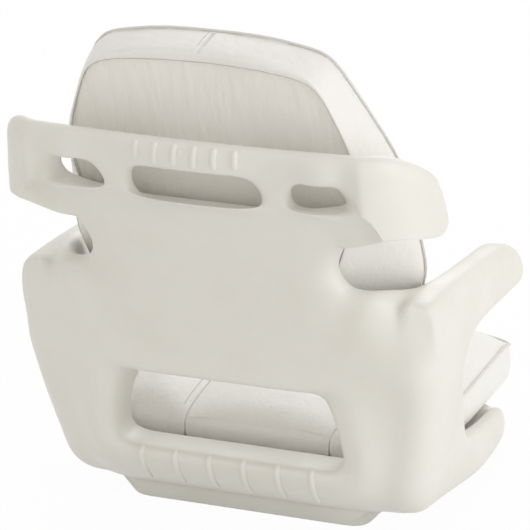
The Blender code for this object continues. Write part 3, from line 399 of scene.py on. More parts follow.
def body_column(column, row, layer):
    """Half width of a lattice point of the lower body."""
    if layer <= INSIDE:
        outer = mix(FOOT_WIDTH / 2, ARM_SPAN / 2, TAPER_SHARES[row])
    else:
        outer = mix(FLARE_WIDTH / 2, ARM_SPAN / 2, FLARE_SHARES[row])
    wall = RIM_WIDTH if layer >= ARM_MID and row <= RIM else ARM_WIDTH
    if row >= ARM_UNDER and layer >= ARM_FORE:
        outer += TIP_FLARE
        wall += 3 * TIP_FLARE
    end = LOWER_SLOT_WIDTH / 2 * LOWER_SLOT_SHARES[row]
    if row == LEDGE:
        end = ARM_SPAN / 2 - LEDGE_NOTCH_SHARE * NOTCH_DEPTH
    rim = end + 2 * SLOT_SPREAD
    if layer == INSIDE:
        end = end * SLOT_INNER_SHARES[row] - (NOTCH_DRAW if row == LEDGE else 0)
    if column >= WALL_IN:
        return outer - wall * (WALL_OUT - column) / 2
    if column == SIDE_END:
        return mix(rim, outer - wall, 0.5)
    return (0, end * INNER_SHARES[1], end * INNER_SHARES[2], end * INNER_SHARES[3], end, rim)[column]


def upper_column(column, row, layer):
    """Distance along the rail of a lattice point above the ledge."""
    if column >= WALL_IN:
        slant = BAND_SLANT * SLANT_SHARES[row - NOTCH_TOP]
        stations = (SIDE_END_HALF + BAND_SHOULDER + slant, SIDE_END_HALF + 2 * BAND_SHOULDER + slant,
                    RAIL_STRAIGHT + WING_ARC * WING_ELBOW_SHARE, RAIL_STRAIGHT + WING_ARC, WING_END)
        return stations[column - WALL_IN]
    if row <= WEB:
        depth = NOTCH_DEPTH * (1 if row == NOTCH_MID else NOTCH_TOP_SHARE)
        end = ARM_SPAN / 2 - depth - (NOTCH_DRAW if layer == INSIDE else 0)
        stations = [end * share for share in INNER_SHARES[:-1] + (NOTCH_INNER_SHARE,)]
        return (stations + [end, mix(end, SIDE_END_HALF, 0.5), SIDE_END_HALF])[column]
    slant = 0 if row == LIP else SLOT_SPREAD
    centre_end = CENTRE_HALF - slant + SLOT_SPREAD / 3
    side_start = SIDE_HALF + 2 * slant - SLOT_SPREAD / 3
    side_end = SIDE_END_HALF - slant + SLOT_SPREAD / 3
    if layer == INSIDE:
        centre_end = CENTRE_HALF - SLOT_TAPER
        side_start = SIDE_HALF + SLOT_TAPER
        side_end = SIDE_END_HALF - 2 * SLOT_TAPER
    stations = [mix(side_start, side_end, share) for share in SIDE_SLOT_SHARES]
    return (0, centre_end / 2, centre_end, side_start, *stations, side_end)[column]


def rolled(column, row):
    """How far a rear rim point is drawn in, as a share of the rim roll."""
    if row < LEDGE and column < SLOT_END:
        return ROLL_SHARES[row] / 3
    ends = (CENTRE_END, SIDE_START, SIDE_END) if row > NOTCH_TOP else (SLOT_END,)
    return ROLL_SHARES[row] if column in ends else 0


def upper_point(column, row, layer):
    """Place of a lattice point above the ledge, on the panel, web, rail or wing."""
    along = upper_column(column, row, layer)
    half, drop, turn = rail_path(along)
    past = max(0, along - RAIL_STRAIGHT) / (WING_END - RAIL_STRAIGHT)
    z = ROW_Z[row]
    if past > 0:
        half += WING_SPLAY * SPLAY_SHARES[row - NOTCH_TOP] * min(1, 2 * past)
    if row >= RAIL_UNDER:
        z -= WING_DROP * past ** WING_DROP_POWER * (1.0 if row == RAIL_TOP else WING_UNDER_SHARE)
    if row == NOTCH_TOP:
        z += EDGE_RISE * EDGE_RISE_SHARES[column]
    if row == RAIL_UNDER:
        z -= UNDER_FALL * min(1, along / SIDE_END_HALF)
    on_band = row >= LIP or column >= WALL_MID
    rear = back_plane(z) + (BAND_STEP if on_band else 0)
    if row >= RAIL_UNDER:
        rear = mix(back_plane(RAIL_UNDER_Z) + BAND_STEP, rear, min(1, 2 * past))
    if not on_band and row < WEB:
        drop = 0
    point = Vector((half, rear - drop, z))
    if layer == REAR:
        return point - Vector((0, RIM_ROLL * rolled(column, row), 0))
    if not on_band:
        return Vector((half, back_plane(z) - PANEL_THICKNESS, z))
    if row == LIP and column < WALL_IN:
        return point - Vector((0, PANEL_THICKNESS, LIP_FALL * LIP_SHARES[column]))
    inward = Vector((-math.sin(turn), -math.cos(turn), 0))
    return point + inward * (RAIL_THICKNESS if column < WALL_OUT else WING_THICKNESS)


def rear_point(column, row, half):
    """Place of a lattice point on the body's rear face."""
    z = ROW_Z[row] + (LEDGE_RISE * LEDGE_SHARES[column] if row == LEDGE else 0)
    rear = back_plane(z) - (BAR_TUCK if row == FOOT else 0) - RIM_ROLL * rolled(column, row)
    rear += BAR_SET * SET_SHARES[row] * SET_ACROSS_SHARES[column]
    if row == LEDGE and column >= SLOT_RIM:
        rear -= FACET_DROP * FACET_SHARES[column - SLOT_RIM]
    elif column == WALL_OUT:
        rear -= CORNER_DROP
    return Vector((half, rear, z))


def arm_point(column, row, layer, half):
    """Place of a lattice point on the arm, forward of the wall's front edge."""
    share = ARM_LAYER_SHARES[layer - WALL_EDGE]
    y = mix(WALL_FRONT_Y * WALL_EDGE_SHARES[row], ARM_TIP_Y, share)
    if column == WALL_IN:
        y += TIP_INNER_SET * share ** 2
    z = ROW_Z[row]
    if row == LEDGE:
        y += TIP_SET * share ** 2
        z -= ARM_FALL * share + (TIP_DROP if layer == TIP else 0)
    return Vector((half, y, z))


def inner_face(column, row, z):
    """Depth of the bucket's inner rear face, with its filled corners."""
    return back_plane(z) - PANEL_THICKNESS - CORNER_FILL * FILL_SHARES[row] * FILL_ACROSS_SHARES[column]


def body_point(column, row, layer):
    """Place of a lattice point of the panel, walls, arms or pan."""
    half = body_column(column, row, layer)
    z = ROW_Z[row]
    if layer == REAR:
        return rear_point(column, row, half)
    if layer == INSIDE:
        z += LEDGE_RISE * LEDGE_SHARES[column] if row == LEDGE else 0
        front = inner_face(column, row, z)
        if row == SLOT and column <= SLOT_END:
            z -= BAR_DIP
        return Vector((half, front, z))
    if row >= ARM_UNDER:
        return arm_point(column, row, layer, half)
    if layer == FRONT:
        bow = (half / (FLARE_WIDTH / 2)) ** PAN_BOW_POWER
        return Vector((half, mix(PAN_FRONT_Y, RIM_FRONT_Y, bow), z))
    start = WALL_FRONT_Y * WALL_EDGE_SHARES[row]
    if column < WALL_IN:
        start = inner_face(column, row, z) - FLOOR_CORNER
    y = mix(start, RIM_FRONT_Y, PAN_LAYER_SHARES[layer - WALL_EDGE])
    if layer == TIP and column == WALL_OUT:
        y += CORNER_DROP
    if row == RIM:
        z -= RIM_FALL * PAN_LAYER_SHARES[layer - WALL_EDGE]
        if layer >= ARM_MID and column == WALL_OUT:
            half -= SLOT_SPREAD
    if column >= WALL_IN:
        half -= PAN_TAPER * PAN_LAYER_SHARES[layer - WALL_EDGE] ** 2
    return Vector((half, y, z))


def shell_cells():
    """The filled cells of the lattice, as (column, layer, row)."""
    cells = set()
    for row in range(RAIL_TOP):
        last = WING_TIP if row >= NOTCH_TOP else SLOT_END if row >= LEDGE else WALL_OUT
        for column in range(last):
            in_lower_slot = row in (SLOT, SLOT_MID) and column < SLOT_END
            in_hand_slot = row == LIP and (column < CENTRE_END or SIDE_START <= column < SIDE_END)
            if not in_lower_slot and not in_hand_slot:
                cells.add((column, REAR, row))
    for column in (WALL_IN, WALL_MID):
        for row in range(FOOT, LEDGE):
            cells.add((column, INSIDE, row))
        for layer in range(WALL_EDGE, TIP):
            cells.add((column, layer, ARM_UNDER))
            cells.add((column, layer, FLOOR))
    for column in range(WALL_OUT):
        for layer in range(INSIDE, TIP):
            cells.add((column, layer, FOOT))
    for column in range(WALL_IN):
        cells.add((column, TIP, FOOT))
    return cells


# A cell's six faces, each as the neighbour's step and the four corners seen from outside
CELL_FACES = (
    ((1, 0, 0), ((1, 0, 0), (1, 0, 1), (1, 1, 1), (1, 1, 0))),
    ((-1, 0, 0), ((0, 0, 0), (0, 1, 0), (0, 1, 1), (0, 0, 1))),
    ((0, 1, 0), ((0, 1, 0), (1, 1, 0), (1, 1, 1), (0, 1, 1))),
    ((0, -1, 0), ((0, 0, 0), (0, 0, 1), (1, 0, 1), (1, 0, 0))),
    ((0, 0, 1), ((0, 0, 1), (0, 1, 1), (1, 1, 1), (1, 0, 1))),
    ((0, 0, -1), ((0, 0, 0), (1, 0, 0), (1, 1, 0), (0, 1, 0))),
)


def shell_point(column, layer, row):
    """Place of a lattice point of the shell."""
    place = upper_point if row > LEDGE else body_point
    return place(column, row, layer)


def shell_crease(start, end):
    """How crisp the shell's edge between two lattice points stays."""
    columns = sorted((start[0], end[0]))
    rows = sorted((start[2], end[2]))
    if rows == [LEDGE, LEDGE] and start[1] == end[1] == TIP:
        return SHOULDER_CREASE_SHARE
    if start[1] != REAR or end[1] != REAR:
        return 0
    if rows == [NOTCH_TOP, NOTCH_TOP] and columns[0] >= SLOT_END:
        return WING_CREASE_SHARE
    if columns == [SLOT_END, SLOT_END] and rows[0] >= SLOT and rows[1] <= SLOT_TOP:
        return SLOT_CREASE_SHARE
    if rows[0] >= LIP and rows[1] <= RAIL_UNDER:
        on_end = rows[0] < rows[1] and columns[0] in (CENTRE_END, SIDE_START, SIDE_END)
        if on_end and columns[0] == columns[1]:
            return RIM_CREASE_SHARE
        beside = columns[1] <= CENTRE_END or (SIDE_START <= columns[0] and columns[1] <= SIDE_END)
        if rows[0] == rows[1] and beside:
            return RIM_CREASE_SHARE
    if rows == [LIP, LIP] and SIDE_END <= columns[0] and columns[1] <= WALL_MID:
        return BAND_CREASE_SHARE
    if columns == [WALL_MID, WALL_MID] and rows[0] >= NOTCH_TOP and rows[1] <= LIP:
        return BAND_CREASE_SHARE
    if rows == [LEDGE, LEDGE] and columns[0] >= WALL_IN:
        return SHOULDER_CREASE_SHARE
    if columns == [WALL_OUT, WALL_OUT] and rows == [ARM_UNDER, LEDGE]:
        return SHOULDER_CREASE_SHARE
    return 0


def stepped(cell, step):
    """The lattice place that lies a step from another."""
    return tuple(number + move for number, move in zip(cell, step))


def lattice_cage(cells, place, crease, half=True):
    """Coarse cage of quads round lattice cells; a half cage is open on the middle plane."""
    cage = bmesh.new()
    corners = {}

    def corner(key):
        if key not in corners:
            corners[key] = cage.verts.new(place(*key))
        return corners[key]

    for cell in sorted(cells):
        for step, face in CELL_FACES:
            neighbour = stepped(cell, step)
            if neighbour not in cells and not (half and neighbour[0] < MIDDLE):
                cage.faces.new([corner(stepped(cell, offset)) for offset in face])
    keys = {vert: key for key, vert in corners.items()}
    layer = cage.edges.layers.float.new("crease_edge")
    for edge in cage.edges:
        edge[layer] = crease(*(keys[vert] for vert in edge.verts))
    return cage


def new_piece(name, shape, material):
    """Turn a bmesh into a named, smooth object with its material."""
    mesh = bpy.data.meshes.new(name)
    shape.to_mesh(mesh)
    shape.free()
    mesh.materials.append(material)
    item = bpy.data.objects.new(name, mesh)
    bpy.context.collection.objects.link(item)
    mesh.shade_smooth()
    return item


def smooth_over(item, levels, half=True):
    """Round an object's coarse cage, once a half one has its other half."""
    if half:
        mirror = item.modifiers.new("other half", "MIRROR")
        mirror.merge_threshold = MERGE_GAP
    smooth = item.modifiers.new("rounding", "SUBSURF")
    smooth.levels = levels
    smooth.render_levels = levels


def cut_or_join(item, shape, name, operation):
    """Cut a tool shape out of an object, or join it on."""
    tool = new_piece(name, shape, item.data.materials[0])
    tool.hide_render = True
    tool.display_type = "WIRE"
    boolean = item.modifiers.new(name, "BOOLEAN")
    boolean.operation = operation
    boolean.object = tool
    boolean.solver = "EXACT"


def tube(shape, path, radius, sides, across, loop=False):
    """Add a round tube along a path that never runs along the direction across."""
    reach = list(path)
    if not loop:
        start = (path[0] - path[1]).normalized() * radius * DOME_SHARE
        end = (path[-1] - path[-2]).normalized() * radius * DOME_SHARE
        reach = [path[0] + start] + reach + [path[-1] + end]
    rings = []
    for number, point in enumerate(reach):
        before = reach[number - 1] if loop else reach[max(0, number - 1)]
        after = reach[(number + 1) % len(reach)] if loop else reach[min(len(reach) - 1, number + 1)]
        along = (after - before).normalized()
        side = along.cross(across).normalized()
        other = along.cross(side)
        size = radius if loop or 0 < number < len(reach) - 1 else radius * DOME_SHARE
        ring = []
        for step in range(sides):
            angle = 2 * math.pi * step / sides
            outward = side * math.cos(angle) + other * math.sin(angle)
            ring.append(shape.verts.new(point + outward * size))
        rings.append(ring)
    for first, second in zip(rings, rings[1:] + (rings[:1] if loop else [])):
        for step in range(sides):
            after = (step + 1) % sides
            shape.faces.new((first[step], first[after], second[after], second[step]))
    if not loop:
        shape.faces.new(reversed(rings[0]))
        shape.faces.new(rings[-1])


def drums(*kinds):
    """Upright cylinders, each kind given by its places, its radius and two heights."""
    shape = bmesh.new()
    for places, radius, low, high in kinds:
        for x, y in places:
            start = Vector((x, y, low))
            end = Vector((x, y, high))
            middle = Matrix.Translation((start + end) / 2)
            bmesh.ops.create_cone(shape, cap_ends=True, segments=TURN_SIDES, radius1=radius,
                                  radius2=radius, depth=(end - start).length, matrix=middle)
    return shape


def evaluated(item):
    """An object as its modifiers make it."""
    bpy.context.view_layer.update()
    return item.evaluated_get(bpy.context.evaluated_depsgraph_get())


def surface_path(item, centre, turns):
    """Points on an object's surface, met from outside along turns about a centre line."""
    solid = evaluated(item)
    path = []
    for step in range(RIB_STEPS + 1):
        turn = mix(turns[0], turns[1], step / RIB_STEPS)
        outward = Vector((0, math.cos(turn), math.sin(turn)))
        met, place, normal, _ = solid.ray_cast(centre + outward * RIB_REACH, -outward)
        if met:
            path.append(place - normal * (RIB_RADIUS - RIB_STAND))
    return path


def plinth_shape():
    """The sloping block under the pan, wider at its top than at its foot."""
    shape = bmesh.new()
    bmesh.ops.create_cube(shape, size=1)
    height = FOOT_Z + PLINTH_SINK
    spread = PLINTH_SLOPE * height / PLINTH_HEIGHT
    for vert in shape.verts:
        top = vert.co.z > 0
        half = PLINTH_WIDTH / 2 + (spread if top else 0)
        front = PLINTH_FRONT_Y - (spread if top else 0)
        vert.co = (math.copysign(half, vert.co.x), PLINTH_REAR_Y if vert.co.y > 0 else front,
                   height if top else 0)
    uprights = [edge for edge in shape.edges
                if abs(edge.verts[0].co.z - edge.verts[1].co.z) > PLINTH_SINK]
    bmesh.ops.bevel(shape, geom=uprights, offset=PLINTH_CORNER, segments=4, profile=ROUND_SHARE,
                    affect="EDGES")
    foot = [edge for edge in shape.edges if max(vert.co.z for vert in edge.verts) < PLINTH_EDGE]
    bmesh.ops.bevel(shape, geom=foot, offset=PLINTH_EDGE, segments=2, profile=ROUND_SHARE,
                    affect="EDGES")
    return shape


def rib_shapes(shell):
    """The grip ribs, laid along the shell's own surface."""
    shape = bmesh.new()
    for number in RIB_PLACES:
        x = RAIL_RIB_PITCH * number
        drop = rail_path(abs(x))[1]
        centre = Vector((x, back_plane(RAIL_UNDER_Z) + BAND_STEP - RAIL_THICKNESS / 2 - drop,
                         mix(RAIL_UNDER_Z, RAIL_TOP_Z, 0.5)))
        tube(shape, surface_path(shell, centre, RAIL_RIB_TURNS), RIB_RADIUS, RIB_SIDES, ACROSS)
        x = BAR_RIB_PITCH * number
        centre = Vector((x, back_plane(FOOT_Z) + BAR_SET - PANEL_THICKNESS, mix(FOOT_Z, SLOT_Z, 0.5)))
        tube(shape, surface_path(shell, centre, BAR_RIB_TURNS), RIB_RADIUS, RIB_SIDES, ACROSS)
    return shape


def fixing_places(spacing, rear, front):
    """Where four inserts or screws stand, rear pair first."""
    return [(half, y) for y in (rear, front) for half in (spacing / 2, -spacing / 2)]


INSERT_PLACES = fixing_places(INSERT_SPACING, INSERT_SPACING / 2, -INSERT_SPACING / 2)
SCREW_PLACES = fixing_places(SCREW_SPACING, SCREW_REAR_Y, SCREW_FRONT_Y)
# The shell's bores: their places, radius, and lower and upper end
INSERT_BORES = (INSERT_PLACES, INSERT_RADIUS + FIT_GAP, -CUT_OVERRUN, INSERT_LENGTH + 2 * FIT_GAP)
COUNTERBORES = (SCREW_PLACES, COUNTERBORE_RADIUS, -CUT_OVERRUN, SCREW_SEAT_Z)
SCREW_BORES = (SCREW_PLACES, SCREW_RADIUS + FIT_GAP, SCREW_SEAT_Z - CUT_OVERRUN,
               FLOOR_Z + CUT_OVERRUN)


def block_cells(columns, layers, rows):
    """All cells of a block of lattice."""
    return {(column, layer, row) for column in range(columns) for layer in range(layers)
            for row in range(rows)}


BOARD_Z = FLOOR_Z + FIT_GAP
CUSHION_Z = BOARD_Z + BOARD_THICKNESS + FIT_GAP


def seat_edge(share):
    """Half widths of the seat cushion and of its seams at a share of its depth."""
    wide = min(1, share / SEAT_WIDE_SHARE)
    return (mix(SEAT_REAR_WIDTH, SEAT_WIDTH, wide ** SEAT_EDGE_POWER) / 2,
            mix(SEAT_REAR_SEAM_WIDTH, SEAT_SEAM_WIDTH, wide) / 2)


def seat_point(half, layer, row, crown):
    """Place of a seat cushion point that stands at a half width."""
    share = SEAT_LAYER_SHARES[layer]
    front = SEAT_FRONT_Y + SEAT_FRONT_BOW * (half / (SEAT_WIDTH / 2)) ** 2
    y = mix(SEAT_REAR_Y, front, share)
    rise = mix(SEAT_REAR_RISE, SEAT_FRONT_RISE, share)
    z = CUSHION_Z + rise * SEAT_ROW_SHARES[row]
    if row == 2:
        z += -SEAT_ROLL if layer in (0, SEAT_LAST_LAYER) else crown
    if row == 1 and layer == SEAT_LAST_LAYER:
        y -= SEAT_BELLY
    if row == 0 and layer == SEAT_LAST_LAYER:
        z -= SEAT_SKIRT
    return Vector((half, y, z))


def seat_centre_point(column, layer, row):
    """Place of a lattice point of the seat cushion's centre."""
    seam = seat_edge(SEAT_LAYER_SHARES[layer])[1] - FIT_GAP / 2
    share = column / CENTRE_COLUMNS
    crown = SEAT_CROWN * (1 - share ** 2)
    return seat_point(seam * share, layer, row, crown)


def bolster_point(side):
    """Maker of the lattice points of one bolster of the seat cushion."""
    def place(column, layer, row):
        outer, seam = seat_edge(SEAT_LAYER_SHARES[layer])
        inner = seam + FIT_GAP / 2
        share = column / BOLSTER_COLUMNS
        half = mix(inner, outer, share)
        if column == BOLSTER_COLUMNS and row == 1:
            half += SEAT_BELLY / 2
        crown = BOLSTER_CROWN * 4 * share * (1 - share)
        point = seat_point(half, layer, row, crown)
        if column == BOLSTER_COLUMNS and row == 0 and layer < SEAT_LAST_LAYER:
            point.z -= SEAT_SKIRT
        point.x *= side
        return point
    return place


def back_frame(half, along, depth):
    """World place of a point given square to the back panel."""
    lean = math.atan(RECLINE_SHARE)
    foot = BACK_FOOT_Y - PANEL_THICKNESS - BACK_GAP
    return Vector((half, foot + along * math.sin(lean) - depth * math.cos(lean),
                   along * math.cos(lean) + depth * math.sin(lean)))


def back_along(row, share):
    """Height of a back cushion point, square to the panel, at a share of its half width."""
    crest = BACK_CREST * share ** CREST_POWER if row >= BACK_LAST_ROW - 1 else 0
    return BACK_BOTTOM + BACK_HEIGHT * BACK_ROW_SHARES[row] - crest


def pocket_point(column, row, depth, gap=0):
    """Place of a point of the pocket in the pad's rear, or of a plate that fits it."""
    edge = BACK_REAR_WIDTH / 2 * BACK_REAR_SHARES[row]
    lip = BACK_LIP * (BACK_CORNER_SHARE if row >= BACK_LAST_ROW - 1 else 1)
    share = column / POCKET_COLUMNS
    half = edge - lip - gap
    along = back_along(row, share * half / edge)
    if row == 1:
        along += gap
    elif row == BACK_LAST_ROW - 1:
        along -= gap
    return back_frame(half * share, along, depth)


BACK_RECESS = BACK_PANEL_SET + BACK_PANEL_THICKNESS + BACK_BOARD_THICKNESS + 2 * FIT_GAP


def pad_point(column, layer, row):
    """Place of a lattice point of the back cushion's pad."""
    rear = BACK_REAR_WIDTH / 2 * BACK_REAR_SHARES[row]
    front = BACK_FRONT_WIDTH / 2 * BACK_FRONT_SHARES[row]
    if layer < 2 and column <= POCKET_COLUMNS:
        return pocket_point(column, row, BACK_RECESS * layer)
    along = back_along(row, column / BACK_COLUMNS)
    if layer < 2:
        half = mix(rear, front, layer * BACK_RECESS / BACK_SIDE_DEPTH)
        return back_frame(half, along, BACK_RECESS * layer)
    depth = mix(BACK_SIDE_DEPTH, BACK_TOP_DEPTH, BACK_THIN_SHARES[row])
    share = column / BACK_COLUMNS
    if 0 < row < BACK_LAST_ROW:
        depth += BACK_CROWN * (1 - share ** BACK_CROWN_POWER)
    if row >= BACK_LAST_ROW - 1:
        along -= BACK_FRONT_FALL
    return back_frame(front * share, along, depth)


def in_pocket(key):
    """Whether a lattice point of the pad is on the rim of its pocket."""
    column, layer, row = key
    on_side = column == POCKET_COLUMNS and 1 <= row <= BACK_LAST_ROW - 1
    on_end = row in (1, BACK_LAST_ROW - 1) and column <= POCKET_COLUMNS
    return layer < 2 and (on_side or on_end)


def pad_crease(start, end):
    """Keep the pocket's edges crisp."""
    return 1 if in_pocket(start) and in_pocket(end) and start[1] == end[1] else 0


def plate_crease(start, end):
    """Keep the outline of a pocket plate crisp."""
    ends = (0, BACK_LAST_ROW - 2)
    rim = [key[0] == POCKET_COLUMNS or key[2] in ends for key in (start, end)]
    return 1 if all(rim) and start[1] == end[1] else 0


def panel_point(column, layer, row):
    """Place of a lattice point of the rear panel, which fits the pocket."""
    inside = column < POCKET_COLUMNS and 0 < row < BACK_LAST_ROW - 2
    depth = BACK_PANEL_SET
    if layer:
        depth += BACK_PANEL_THICKNESS
    elif inside:
        depth -= BACK_PANEL_CROWN
    return pocket_point(column, row + 1, depth, FIT_GAP)


def edge_path(item, guides):
    """Line of the piping, lying against an object's surface beside each guide point."""
    solid = evaluated(item)
    path = []
    for guide in guides:
        _, place, _, _ = solid.closest_point_on_mesh(guide)
        path.append(place + (guide - place).normalized() * (PIPING_RADIUS + FIT_GAP + PIPING_SAG))
    return path


def thinned(path):
    """A path without the points that lie within the sag of a straight run."""
    kept = [path[0]]
    start = 0
    for end in range(2, len(path)):
        span = path[end] - path[start]
        strays = [(point - path[start]).cross(span).length / span.length
                  for point in path[start + 1:end]]
        if max(strays) > PIPING_SAG:
            start = end - 1
            kept.append(path[start])
    return kept + [path[-1]]


def between(points):
    """Points spread along the straight runs between some points."""
    run = []
    for start, end in zip(points, points[1:]):
        run += [mix(start, end, step / PIPING_STEPS) for step in range(PIPING_STEPS)]
    return run + [points[-1]]


def mirror_image(points):
    """Points on the other side of the seat, in turned order."""
    return [Vector((-point.x, point.y, point.z)) for point in reversed(points)]


def settle(item):
    """Give an object the mesh that its modifiers make of it."""
    mesh = bpy.data.meshes.new_from_object(evaluated(item))
    tools = [modifier.object for modifier in item.modifiers if modifier.type == "BOOLEAN"]
    item.modifiers.clear()
    item.data = mesh
    for tool in tools:
        bpy.data.objects.remove(tool, do_unlink=True)
    mesh.shade_smooth()


def press(item, rule):
    """Move each point of an object along its normal by what the rule says for it."""
    mesh = item.data
    points = [vert.co.copy() for vert in mesh.vertices]
    normals = [vert.normal.copy() for vert in mesh.vertices]
    moved = [point + normal * rule(point, normal) for point, normal in zip(points, normals)]
    mesh.vertices.foreach_set("co", [part for point in moved for part in point])
    mesh.update()


def groove(distance, width, depth):
    """Depth of a sewn seam's valley at a distance from its line."""
    return -depth * math.exp(-(distance / width) ** 2)


def spline(points, steps, closed):
    """Points on the smooth curve that a subdivided crease makes of its control points."""
    count = len(points)
    curve = []
    for number in range(count if closed else count - 1):
        if closed:
            a, b, c, d = (points[(number + offset) % count] for offset in (-1, 0, 1, 2))
        else:
            b, c = points[number], points[number + 1]
            a = points[number - 1] if number else 2 * b - c
            d = points[number + 2] if number + 2 < count else 2 * c - b
        for step in range(steps):
            t = step / steps
            curve.append((a * (1 - t) ** 3 + b * (3 * t ** 3 - 6 * t ** 2 + 4)
                          + c * (-3 * t ** 3 + 3 * t ** 2 + 3 * t + 1) + d * t ** 3) / 6)
    if not closed:
        curve.append(points[-1])
    return curve


def walk(path, pitch):
    """Points spread evenly along a path."""
    spots = [path[0]]
    left = pitch
    for start, end in zip(path, path[1:]):
        span = (end - start).length
        place = 0
        while span - place >= left:
            place += left
            spots.append(mix(start, end, place / span))
            left = pitch
        left -= span - place
    return spots


def stitches(name, surface, paths, material):
    """Rows of thread stitches laid along paths on a surface."""
    bpy.context.view_layer.update()
    shape = bmesh.new()
    for path in paths:
        spots = walk(path, STITCH_PITCH)
        for start, end in zip(spots, spots[1:]):
            ends = []
            for share in STITCH_ENDS:
                _, place, normal, _ = surface.closest_point_on_mesh(mix(start, end, share))
                ends.append(place + normal * THREAD_RADIUS * THREAD_SINK_SHARE)
            if (ends[1] - ends[0]).length > STITCH_PITCH / 3:
                tube(shape, ends, THREAD_RADIUS, THREAD_SIDES, normal)
    dress(new_piece(name, shape, material), "piping_vinyl")


def dress(item, slot, *nodes):
    """Hang a piece on the root body and hide the imported parts that it takes the place of; its slot is
    not used.
    """
    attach(item, "root")
    if nodes:
        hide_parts(*nodes)
    return item


def feed(made, inputs):
    """Give a node its inputs, which are values or other nodes' outputs."""
    for key, value in inputs.items():
        if isinstance(value, bpy.types.NodeSocket):
            made.id_data.links.new(value, made.inputs[key])
        else:
            made.inputs[key].default_value = value


def node(tree, kind, inputs=None, **settings):
    """Add a node."""
    made = tree.nodes.new(kind)
    for key, value in settings.items():
        setattr(made, key, value)
    feed(made, inputs or {})
    return made


def place_at(tree, scale=(1, 1, 1), turn=(0, 0, 0)):
    """The object's own coordinates, scaled along each axis."""
    inputs = {"Vector": node(tree, "ShaderNodeTexCoord").outputs["Object"], "Scale": scale,
              "Rotation": turn}
    return node(tree, "ShaderNodeMapping", inputs).outputs[0]


def noise_at(tree, scale, detail=3.0, rough=0.5, vector=None, distortion=0.0):
    """Noise from 0 to 1."""
    inputs = {"Vector": vector or place_at(tree), "Scale": scale, "Detail": detail, "Roughness": rough,
              "Distortion": distortion}
    return node(tree, "ShaderNodeTexNoise", inputs).outputs[0]


def ranged(tree, value, low, high, start=0.0, end=1.0):
    """A value mapped from one range to another, and held at its ends."""
    inputs = {"Value": value, "From Min": low, "From Max": high, "To Min": start, "To Max": end}
    made = node(tree, "ShaderNodeMapRange", inputs, clamp=True, interpolation_type="SMOOTHSTEP")
    return made.outputs[0]


def maths(tree, operation, first, second=0.5):
    """A sum on one or two values."""
    return node(tree, "ShaderNodeMath", {0: first, 1: second}, operation=operation).outputs[0]


def seen_directly(tree):
    """1 for rays from the camera and for reflected and transmitted ones, 0 for the light's own."""
    rays = node(tree, "ShaderNodeLightPath").outputs
    seen = maths(tree, "MAXIMUM", rays["Is Camera Ray"], rays["Is Glossy Ray"])
    return maths(tree, "MAXIMUM", seen, rays["Is Transmission Ray"])


def tinted(tree, share, first, second):
    """A colour between two, each a plain colour or another node's output."""
    inputs = {0: share}
    for key, colour in ((6, first), (7, second)):
        inputs[key] = colour if isinstance(colour, bpy.types.NodeSocket) else (*colour, 1.0)
    return node(tree, "ShaderNodeMix", inputs, data_type="RGBA").outputs[2]


def bumped(tree, height, distance, strength, below=None):
    """A bump on top of the bump below it."""
    inputs = {"Height": height, "Distance": distance, "Strength": strength}
    if below:
        inputs["Normal"] = below
    return node(tree, "ShaderNodeBump", inputs).outputs[0]


def started(name):
    """A new material with its shader."""
    material = bpy.data.materials.new(name)
    material.use_nodes = True
    return material, material.node_tree, material.node_tree.nodes["Principled BSDF"]


def mottled(tree, scale, low, high, colours):
    """A colour that noise moves between two."""
    return tinted(tree, ranged(tree, noise_at(tree, scale, 4, 0.6), low, high), *colours)


def marked_and_shaded(tree, colour, value, start, end, most, mark_and_shade_colour):
    """A colour that a second colour covers more and more, up to a share, as a value goes to its end;
    the second colour is a real mark in some uses and painted shade in others.
    """
    return tinted(tree, ranged(tree, value, start, end, 0.0, most), colour, mark_and_shade_colour)


def pointiness(tree):
    """A measure of how hollow or how edged the surface is: a half where it is flat."""
    return node(tree, "ShaderNodeNewGeometry").outputs["Pointiness"]


def plastic():
    """Moulded white plastic: orange peel, faint waves, scuffs, painted shade in its hollows and a
    lighter tone on its sharp convex edges.
    """
    material, tree, shader = started("moulded_plastic")
    colour = mottled(tree, 7, 0.35, 0.7, SHELL_COLOURS)
    colour = marked_and_shaded(tree, colour, noise_at(tree, 260, 2, 0.7), 0.66, 0.76, 0.35, SPECK_COLOUR)
    # Painted shade: a darker, warmer colour in the shell's concave hollows
    colour = marked_and_shaded(tree, colour, pointiness(tree), 0.485, 0.43, 0.45, SHELL_HOLLOW_SHADE_COLOUR)
    # Lighter along sharp convex edges
    colour = marked_and_shaded(tree, colour, pointiness(tree), 0.52, 0.60, 0.5, SHELL_EDGE_COLOUR)
    scuffs = noise_at(tree, 16, 5, 0.65, place_at(tree, (1, 1, 3)), 0.6)
    waves = bumped(tree, noise_at(tree, 14, 2), 0.004, 0.35)
    peel = bumped(tree, noise_at(tree, 420, 3, 0.55), 0.0004, 0.32, waves)
    scuffed = ranged(tree, scuffs, 0.3, 0.75, 0.36, 0.52)
    feed(shader, {"Base Color": colour, "Roughness": scuffed, "Normal": peel,
                  "Specular IOR Level": 0.42, "Subsurface Weight": 0.06,
                  "Subsurface Radius": (0.006, 0.005, 0.003)})
    return material


